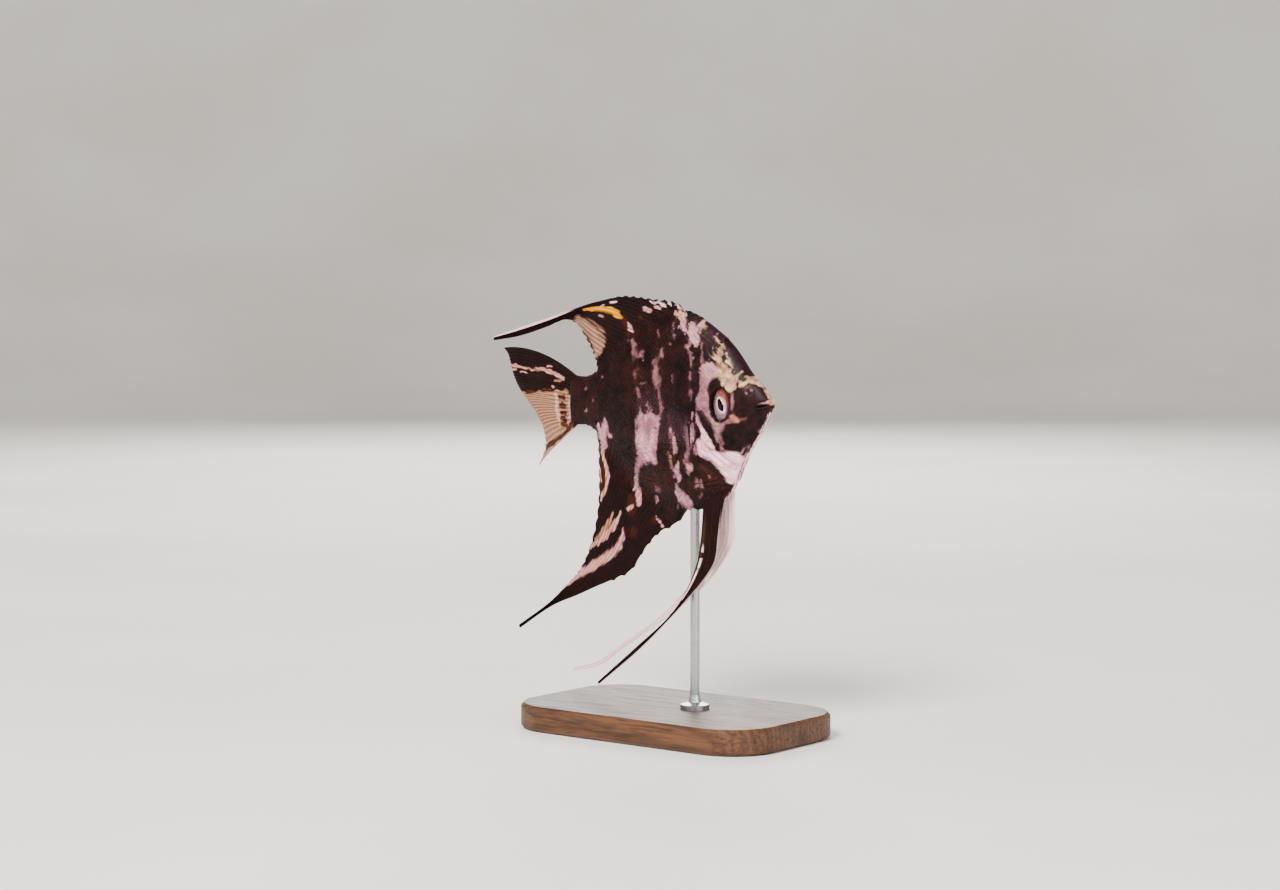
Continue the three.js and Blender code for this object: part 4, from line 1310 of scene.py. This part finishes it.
def sail_shape(grid, edges, ray_fan, notches, scallops, curl, root_depth):
    """A sail's places, rays, sideways sway and half thickness.

    The edges are the leading and the trailing one, and the ray fan is how many rays there are, which of them
    stands straight and how far they spread. Notches are the spines' tips that stand out of the leading edge,
    and scallops lie between the soft rays' ends at the hind edge.
    """
    across, outward = grid
    spots = swept_spots(*edges, across, outward)
    rays = ray_share(across, outward, *ray_fan)
    crest = fading(0.0, notches["width"], across)
    crest = crest * fading(*notches["end"], outward) * smooth(*notches["start"], outward)
    spots[..., 1] += notches["height"] * crest * waved(outward, notches["waves"], notches["sharpness"])
    hind = smooth(0.93, 1.0, across) * smooth(0.03, 0.1, outward) * fading(*scallops["end"], outward)
    spots[..., 0] += scallops["depth"] * hind * waved(outward, scallops["waves"])
    ripple = curl["ripple"] * np.sin(curl["waves_across"] * across + curl["waves_outward"] * outward)
    sway = curl["bend"] * outward**2 + ripple * smooth(0.05, 0.5, outward) * (1 - outward)
    thin = fading(0.86, 1.0, across)
    half = 0.13 + 0.10 * rays * (0.4 + 0.6 * thin) + 0.42 * fading(0.0, root_depth, outward)
    half += 0.9 * fading(0.0, 0.09, outward)
    half *= 0.45 + 0.55 * smooth(0.0, 0.03, across) * smooth(0.0, 0.03, 1 - across)
    return spots, rays, sway, half


dorsal_leading = curve_through([
    [0, 39.5, 33], [0.08, 46.5, 38.4], [0.2, 60, 40.2], [0.32, 74, 41.2], [0.42, 85.5, 39.5],
    [0.54, 97, 36.6], [0.68, 110, 32.7], [0.84, 126, 28.2], [1, 139.6, 24.4],
])
dorsal_trailing = curve_through([
    [0, 86, 8], [0.08, 87, 13.6], [0.2, 89, 18.8], [0.32, 92.7, 24.6], [0.42, 97, 30], [0.54, 103, 31.8],
    [0.68, 113, 28.5], [0.84, 126.4, 24.8], [1, 139.2, 22.8],
])
across, outward = fin_grid(180, 130)
spots, rays, sway, half = sail_shape(
    (across, outward), (dorsal_leading, dorsal_trailing), (27, 0.42, 2.4),
    notches={
        "height": 0.38, "waves": 190, "sharpness": 2, "width": 0.10,
        "start": (0.02, 0.05), "end": (0.30, 0.40),
    },
    scallops={"depth": 0.5, "waves": 120, "end": (0.5, 0.7)},
    curl={"bend": -1.2, "ripple": 0.22, "waves_across": 7, "waves_outward": 5},
    root_depth=0.14,
)
dorsal_marks = fin_marks(spots, across, outward, rays, 55, {
    "yellow": [
        [
            (-26.4, 97.2, 0.1), (-24, 97.3, 0.35), (-21, 97.4, 0.45), (-18.6, 97.1, 0.65),
            (-16.6, 96.3, 0.6),
        ],
        [(-16.6, 96.3, 0.6), (-15.4, 95.6, 0.25)],
    ],
    "rust": [
        [(-15, 95.4, 0.6), (-13.6, 93.4, 0.8)], [(-9.6, 95.6, 0.5)], [(-20.6, 95.4, 0.5)],
        [(-13.2, 91.4, 0.7)],
    ],
    "pale": [
        [(-13.4, 94.4, 0.15), (-12.8, 93, 0.5), (-12, 92.4, 0.3)], [(-8.4, 97.5, 0.4), (-6.9, 97.2, 0.4)],
        [(-5.4, 98, 0.2), (-3.9, 97.6, 0.25)], [(-4.9, 93.2, 0.15), (-4.4, 91.4, 0.25)],
        [(-12.8, 89.6, 0.3)], [(1.2, 96.4, 0.3), (2.6, 95.6, 0.45)],
        [(-20.8, 95.5, 0.1), (-22, 95.8, 0.1)],
    ],
    "white": [
        [(-6.8, 99.3, 0.15), (-5.4, 98.8, 0.25)],
        [(-4.7, 99.2, 0.2), (-3.2, 98.5, 0.3), (-2.4, 98.1, 0.15)],
        [(-2, 99.2, 0.15), (-0.4, 98.4, 0.25)], [(0.8, 98.8, 0.2), (2.2, 97.6, 0.3)],
        [(3, 98, 0.15), (3.6, 97.2, 0.2)], [(-16.8, 99.2, 0.12), (-18.4, 98.9, 0.15)],
        [(-20.4, 98.4, 0.1), (-21.6, 98.1, 0.12)],
    ],
    "clear": [
        [(-22.9, 86.6, 0.5), (-22.4, 89.2, 1.6), (-22.6, 91.0, 2.1), (-25, 92.6, 1.8), (-28, 94.3, 1.1)],
    ],
    "brown": [
        [(-23.6, 87.4, 0.2), (-25.4, 89.8, 0.3), (-27.4, 92.4, 0.25)],
        [(-20, 91.2, 0.15), (-22.6, 92.9, 0.2)], [(-23, 93.4, 0.2), (-25.6, 94.9, 0.2)],
        [(-19.6, 90, 0.1), (-21.8, 91.3, 0.12)],
    ],
})
lead_edge = fading(0.2, 0.36, across) * smooth(0.5, 0.62, outward)
dorsal_marks["white"] = np.maximum(0.8 * dorsal_marks["white"], lead_edge)
dorsal_marks["film"] = dorsal_marks["clear"]
dorsal_marks["pale"] = np.maximum(dorsal_marks["pale"], 0.25 * dorsal_marks["clear"])
dorsal = fin_blade("dorsal_sail", spots, across, outward, sway, half, dark_fin, dorsal_marks)
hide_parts("dorsal_fin")
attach(dorsal, "root")
for side_name, side in both_sides:
    roots, own_marks = sheath_roots(spots, sway, half, dorsal_marks, 0.13, side)
    coat_piece(f"dorsal_sheath_{side_name}", roots, head_plate, 3.0, own_marks)

# ---- Anal fin -------------------------------------------------------------------------------------------
# The lower sail mirrors the upper one: spines in front, soft rays behind, and a long trailing point. It is
# smoky black with rusty smudges and two rose stripes that curve out along the rays to the hind edge.

anal_leading = curve_through([
    [0, 40, -38], [0.08, 46, -45.6], [0.18, 56, -51], [0.28, 63, -57.6], [0.38, 70.4, -66.8],
    [0.46, 77.9, -70.6], [0.55, 87, -74.3], [0.66, 98, -79], [0.82, 112, -84.6], [1, 129.8, -95.2],
])
anal_trailing = curve_through([
    [0, 87.5, -7], [0.08, 86.6, -16], [0.18, 86.3, -27], [0.28, 86.5, -39], [0.38, 88.6, -51],
    [0.46, 92, -60.4], [0.55, 96.4, -68], [0.66, 101.8, -73.4], [0.82, 113, -83], [1, 130.3, -93.9],
])
across, outward = fin_grid(180, 140)
spots, rays, sway, half = sail_shape(
    (across, outward), (anal_leading, anal_trailing), (28, 0.36, 1.8),
    notches={
        "height": -0.45, "waves": 110, "sharpness": 3, "width": 0.08,
        "start": (0.03, 0.07), "end": (0.45, 0.55),
    },
    scallops={"depth": 0.35, "waves": 150, "end": (0.6, 0.8)},
    curl={"bend": 1.5, "ripple": 0.25, "waves_across": 6, "waves_outward": 4.5},
    root_depth=0.12,
)
anal_marks = fin_marks(spots, across, outward, rays, 60, {
    "pale": [
        [(-20.8, 70.6, 0.6), (-20.4, 68, 1.0), (-20.3, 66, 0.8), (-21, 63.6, 0.25), (-20, 61, 0.3)],
        [(-20, 61, 0.3), (-19.5, 58.4, 0.4), (-20, 55.4, 0.3), (-21.8, 52.6, 0.3)],
        [(-21.9, 60, 0.12), (-21.6, 57, 0.12)],
        [
            (-15.8, 50, 0.15), (-16.8, 48.2, 0.35), (-18.2, 46.2, 0.55), (-20, 44.4, 0.6),
            (-22.6, 42.6, 0.5), (-25.6, 41, 0.3),
        ],
        [
            (-14.9, 46.4, 0.1), (-15.2, 44.2, 0.4), (-16.3, 42.1, 0.65), (-18.4, 40.1, 0.75),
            (-21, 38.5, 0.8),
        ],
        [(-21, 38.5, 0.8), (-24, 36.9, 0.8), (-28, 34.9, 0.7), (-32, 32.5, 0.55), (-35.4, 30.4, 0.3)],
        [(-12.4, 51.6, 0.4), (-13.6, 51, 0.3)],
        [(-10.6, 59, 0.5), (-10.4, 54.8, 0.75), (-10.2, 52.2, 0.5)],
        [(-4.7, 56, 0.25), (-4.5, 53.4, 0.3)], [(-5, 49.6, 0.15), (-3.4, 47.5, 0.35)],
    ],
    "rust": [
        [(-12.4, 53.6, 0.8), (-12.6, 50.6, 1.2)], [(-12, 45.6, 1.2)],
        [(-21.4, 63, 0.7), (-21.4, 58, 0.8), (-22, 54.4, 0.5)], [(-4.6, 54, 1.0)], [(-11.8, 57, 0.6)],
        [(-5.6, 48.6, 0.6)], [(-15.4, 43.6, 0.5), (-14.6, 46, 0.5)],
    ],
    "film": [
        [(-18.2, 49.6, 0.25), (-19.2, 47.6, 0.4), (-21, 45.2, 0.45), (-23.4, 43.2, 0.35)],
        [(-30, 34.8, 0.3), (-34, 31.8, 0.3)],
    ],
    "clear": [[(-22.3, 66.4, 0.4), (-22.7, 61, 0.4)]],
})
anal = fin_blade("anal_sail", spots, across, outward, sway, half, dark_fin, anal_marks)
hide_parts("anal_fin")
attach(anal, "root")
for side_name, side in both_sides:
    roots, own_marks = sheath_roots(spots, sway, half, anal_marks, 0.14, side)
    coat_piece(f"anal_sheath_{side_name}", roots, head_plate, 3.0, own_marks)
for plate in (flank_plate, head_plate):
    bpy.data.objects.remove(plate)

# ---- Tail fin -------------------------------------------------------------------------------------------
# A fan of branched rays on the tail stem, its upper corner drawn out. A rose stripe parts two dark bands in
# its upper half. The lower half is clear skin on pale rays, with two rows of brown flecks near the root.


def fan_spots(root, margin, slopes, stiffness, across, outward):
    """Rays as cubic curves from the root to the margin, with the slopes that they leave and arrive at."""
    first = root(across)
    last = place(*np.moveaxis(margin(across), -1, 0))
    reach = np.linalg.norm(last - first, axis=-1, keepdims=True) * stiffness
    turn = np.radians(slopes(across))
    leaves = np.stack([-np.cos(turn[..., 0]), np.sin(turn[..., 0])], -1)
    arrives = np.stack([-np.cos(turn[..., 1]), np.sin(turn[..., 1])], -1)
    second = first + leaves * reach
    third = last - arrives * reach
    t = outward[..., None]
    return (1 - t) ** 3 * first + 3 * t * (1 - t) ** 2 * second + 3 * t**2 * (1 - t) * third + t**3 * last


def branched_rays(across, outward, rays, fork):
    """Ray ridges that split in two beyond the fork."""
    single = (0.5 + 0.5 * np.cos(2 * math.pi * rays * across)) ** 2
    double = (0.5 + 0.5 * np.cos(4 * math.pi * rays * across + math.pi)) ** 2
    split = smooth(fork - 0.15, fork + 0.15, outward)
    return single * (1 - split) + double * split


ray_stiffness = 0.33


def tail_root(across):
    return place(97.0 + 1.5 * np.sin(math.pi * across), 9.2 - 19.1 * across)


across, outward = fin_grid(210, 90)
spots = fan_spots(
    tail_root,
    curve_through([
        [0, 134, 20], [0.08, 132, 17.5], [0.25, 130.6, 10.5], [0.42, 128.6, 4], [0.55, 125.6, -0.5],
        [0.7, 120.8, -6.5], [0.85, 117.3, -13.5], [0.93, 117, -20.5], [1, 121.2, -28.8],
    ]),
    curve_through([[0, 34, -8], [0.25, 14, 6], [0.5, 0, 0], [0.8, -22, -28], [1, -42, -44]]),
    ray_stiffness, across, outward,
)
rays = branched_rays(across, outward, 16, 0.45)
spots[..., 0] += 0.30 * smooth(0.9, 1.0, outward) * (1 - rays)
sway = outward**2 * (-1.5 + 4.0 * across) + 0.2 * np.sin(9 * across + 3 * outward) * outward
half = 0.11 + 0.09 * rays * (1 - 0.5 * outward) + 0.45 * fading(0.0, 0.2, outward)
to_edge = smooth(0.0, 0.02, across) * smooth(0.0, 0.02, 1 - across) * smooth(0.0, 0.05, 1 - outward)
half *= 0.4 + 0.6 * to_edge
tail_marks = fin_marks(spots, across, outward, rays, 22, {
    "pale": [
        [
            (-32.9, 81, 0.15), (-34.4, 81.6, 0.25), (-36.6, 82.3, 0.22), (-39, 82.8, 0.16),
            (-41, 83.1, 0.1),
        ],
        [(-41.4, 82.5, 0.1), (-44, 83, 0.14), (-47.4, 83.6, 0.2), (-51, 84.2, 0.25)],
        [(-43.8, 81.9, 0.1), (-45.6, 82, 0.12)], [(-47, 82.6, 0.15), (-50.4, 82.3, 0.2)],
        [(-36.4, 83.6, 0.1), (-37.6, 83.6, 0.15)], [(-36, 78.6, 0.2)],
    ],
    "rust": [
        [(-36, 80.8, 0.5), (-40, 80.8, 0.5), (-45, 81.4, 0.5)], [(-40.4, 85.4, 0.3), (-46, 85.6, 0.35)],
        [(-38.4, 85.2, 0.25)], [(-37, 83.4, 0.4), (-40, 84, 0.3)],
    ],
    "brown": [
        [(-33.9 + 0.03 * (74 - height), height + 0.15, 0.34), (-32.6 + 0.05 * (74 - height), height, 0.42)]
        for height in (76.2, 74.3, 72.6, 71.1, 69.8)
    ] + [
        [(-30, 70.4, 0.3), (-31.6, 69, 0.3), (-34, 67, 0.3), (-36.6, 65.5, 0.45), (-39.4, 64, 0.3)],
        [(-42.6, 77.4, 0.25), (-44.6, 77.2, 0.3)], [(-36.8, 77.8, 0.2), (-38.8, 77.9, 0.2)],
    ],
    "film": [
        [(-33, 80.9, 0.2), (-38, 82.5, 0.15), (-44, 82.9, 0.2), (-51, 84, 0.3)],
        [(-33, 80.4, 0.2), (-35.4, 80.4, 0.2)],
    ],
    "white": [
        [(-30.9, 76.6, 0.25), (-30.9, 73.6, 0.3), (-31.2, 71.4, 0.2)],
        [(-35.2, 77, 0.4), (-35, 73, 0.45), (-34.4, 69.6, 0.3)],
    ],
})
# Below the dark bands the web is clear.
x, z = spots[..., 0], spots[..., 1]
band_edge = 78.3 + 0.07 * (x + 31) + 0.25 * np.sin(2.3 * x)
clear_part = smooth(-0.3, 0.5, band_edge - z) * smooth(0.04, 0.14, outward)
tail_marks["clear"] = 0.7 * clear_part * (1 - 0.8 * tail_marks["brown"])
tail_marks["film"] = np.maximum(tail_marks["film"], clear_part)
tail_marks["brown"] = np.clip(1.5 * tail_marks["brown"], 0, 1)
tail_marks["rust"] = 0.3 * tail_marks["rust"]
tail_marks["white"] = 0.55 * tail_marks["white"] * (1 - tail_marks["brown"])
tail = fin_blade("tail_fan", spots, across, outward, sway, half, dark_fin, tail_marks)
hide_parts("tail_fin")
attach(tail, "root")

# ---- Pelvic fins ----------------------------------------------------------------------------------------
# Two feelers under the chest, each a spine and a few rays in a narrow web, drawn out into a thread. The
# right one is dark with a fine pale ray and the left one is white. They hang a little apart.

pale_fin = fin_material(
    "white_fin_skin", web=colour(226, 176, 182), ray=colour(248, 204, 208), web_clear=0.0, ray_clear=0.0,
)
pelvic_edges = {
    "right": (
        curve_through([
            [0, 21, -31], [0.1, 22.8, -40], [0.2, 23.6, -50], [0.3, 24.6, -59.5], [0.4, 29.2, -66.7],
            [0.5, 36.4, -74.4], [0.62, 45.4, -83.4], [0.8, 60, -96.9], [1, 79.6, -112.4],
        ]),
        curve_through([
            [0, 32, -33], [0.1, 32, -42], [0.2, 32.4, -52], [0.3, 33.6, -61], [0.4, 37, -69.6],
            [0.5, 41, -76.6], [0.62, 47, -83.8], [0.8, 61, -95.7], [1, 80, -111.4],
        ]),
    ),
    "left": (
        curve_through([
            [0, 21, -31], [0.1, 21.4, -43], [0.2, 22.6, -52.4], [0.3, 27.9, -60.9], [0.4, 35, -68.9],
            [0.5, 44.5, -76.6], [0.62, 58, -86], [0.8, 80, -99.8], [0.9, 92, -107.6], [1, 106.2, -111.6],
        ]),
        curve_through([
            [0, 32, -33], [0.1, 31.2, -42.5], [0.2, 31.4, -51], [0.3, 34.4, -59], [0.4, 40, -66.6],
            [0.5, 47.4, -74.4], [0.62, 59.1, -84.5], [0.8, 80.8, -98.6], [0.9, 92.5, -106.3],
            [1, 106.4, -110.4],
        ]),
    ),
}
across, outward = fin_grid(36, 180)
for side_name, side in both_sides:
    spots = swept_spots(*pelvic_edges[side_name], across, outward)
    rays = ray_share(across, outward, 5, 0.1, 0.3)
    away = side * (1.3 + 3.6 * outward**0.8)
    away = away + 0.12 * np.sin(8 * across + 9 * outward) * smooth(0.02, 0.3, outward) * (1 - outward)
    half = 0.17 + 0.08 * rays + 0.35 * fading(0.0, 0.1, outward) + 0.08 * fading(0, 0.15, across)
    half *= 0.5 + 0.5 * smooth(0.0, 0.06, across) * smooth(0.0, 0.06, 1 - across)
    half *= 1 - 0.35 * smooth(0.6, 1.0, outward)
    marks = fin_marks(spots, across, outward, rays, 60, {})
    if side_name == "right":
        broken = smooth(0.25, 0.5, drift(outward, across, 0.03, 0.3, 36))
        streak = hump(across - 0.82, 0.06) * smooth(0.2, 0.26, outward) * broken
        streak = streak * fading(0.5, 0.56, outward)
        edge = fading(0.03, 0.1, across) * smooth(0.05, 0.2, outward)
        marks["white"] = np.maximum(streak, 0.5 * edge)
        marks["rust"] = 0.35 * hump(across - 0.45, 0.2) * fading(0.4, 0.6, outward)
        film = 0.3 * smooth(0.45, 0.9, across) * fading(0.35, 0.5, outward)
        marks["film"] = film * smooth(0.05, 0.15, outward)
    else:
        # The white feeler is pinker and a little darker behind its leading edge near the root: painted shade
        # on its shaded side.
        marks["white"] = 1 - 0.8 * smooth(0.3, 0.8, across) * fading(0.4, 0.7, outward)
        marks["brown"] = 0.9 * smooth(0.84, 0.95, across) * smooth(0.08, 0.2, outward)
        marks["white"] = marks["white"] * (1 - marks["brown"])
    finish, slot = (dark_fin, "dark_fin") if side_name == "right" else (pale_fin, "pale_fin")
    feeler = fin_blade(f"pelvic_feeler_{side_name}", spots, across, outward, away, half, finish, marks)
    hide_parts(f"pelvic_fin_{side_name}")
    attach(feeler, "root")

# ---- Pectoral fins --------------------------------------------------------------------------------------
# A small clear paddle on each side, behind the gill cover, held off the flank. Its rays are fine and pale
# and its web is as clear as film, so the scales show through it.

clear_fin = fin_material(
    "clear_fin_skin", web=colour(72, 46, 58), ray=colour(112, 82, 98), web_clear=0.985, ray_clear=0.92,
)


def pectoral_root(across):
    return place(35.4 - 0.8 * across, -8.5 - 7 * across)


across, outward = fin_grid(120, 60)
spots = fan_spots(
    pectoral_root,
    curve_through([[0, 49, 6], [0.2, 54.5, 5], [0.45, 57.5, 0], [0.7, 55.5, -7], [1, 47.5, -14.5]]),
    curve_through([[0, 50, 42], [0.4, 24, 14], [0.7, 6, -2], [1, -6, 0]]),
    ray_stiffness, across, outward,
)
rays = branched_rays(across, outward, 11, 0.55)
half = 0.07 + 0.07 * rays * (1 - 0.6 * outward) + 0.3 * fading(0.0, 0.15, outward)
half *= 0.5 + 0.5 * smooth(0.0, 0.05, 1 - outward)
marks = fin_marks(spots, across, outward, rays, 12, {})
marks["clear"] = smooth(0.0, 0.13, outward)
for side_name, side in both_sides:
    away = side * (4.5 + 2.8 * outward**0.8 + 0.12 * np.sin(10 * across) * outward)
    paddle = fin_blade(f"pectoral_paddle_{side_name}", spots, across, outward, away, half, clear_fin, marks)
    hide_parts(f"pectoral_fin_{side_name}")
    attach(paddle, "root")

# ---- Stand ----------------------------------------------------------------------------------------------
# A turned-edge block of oiled walnut with a round steel rod let into it by a small collar. The rod runs up
# into the belly. Both are the parts as built, with their finish put on here.

walnut, tree, shader = new_material("oiled_walnut")
figure = noise(tree, object_coordinates(tree, (90, 1400, 1400)), 1.0, 5, 0.65)
broad = noise(tree, object_coordinates(tree, (14, 150, 150)), 1.0, 3, 0.5)
rings = add_node(tree, "ShaderNodeTexWave", wave_type="BANDS", bands_direction="Y", inputs={
    "Scale": 190.0, "Distortion": 14.0, "Detail": 4.0, "Detail Scale": 0.7,
})
tree.links.new(object_coordinates(tree, (0.12, 1, 0.5)), rings.inputs["Vector"])
timber = mixed(tree, between(tree, broad, 0.0, 1.0, 0.3, 0.7), colour(66, 41, 28), colour(96, 64, 43))
timber = mixed(tree, between(tree, rings.outputs["Fac"], 0.45, 0.0, 0.0, 0.6), timber, colour(50, 31, 22))
timber = mixed(tree, between(tree, figure, 0.0, 0.75, 0.42, 0.68), timber, colour(42, 26, 18))
surface(tree, shader, timber, between(tree, figure, 0.44, 0.6, 0.3, 0.7), 0.3)
bumped(tree, shader, figure, 0.00012, 0.5)

steel, tree, shader = new_material("brushed_steel")
brushing = noise(tree, object_coordinates(tree, (900, 900, 9000)), 1.0, 3, 0.6)
tone = mixed(tree, brushing, colour(150, 152, 156), colour(186, 188, 192))
surface(tree, shader, tone, between(tree, brushing, 0.24, 0.38, 0.3, 0.7))
shader.inputs["Metallic"].default_value = 1.0
bumped(tree, shader, brushing, 0.00002, 0.4)

for node_name, finish in (("stand_base", walnut), ("stand_rod", steel)):
    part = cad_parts[node_name]
    part.data.materials.clear()
    part.data.materials.append(finish)
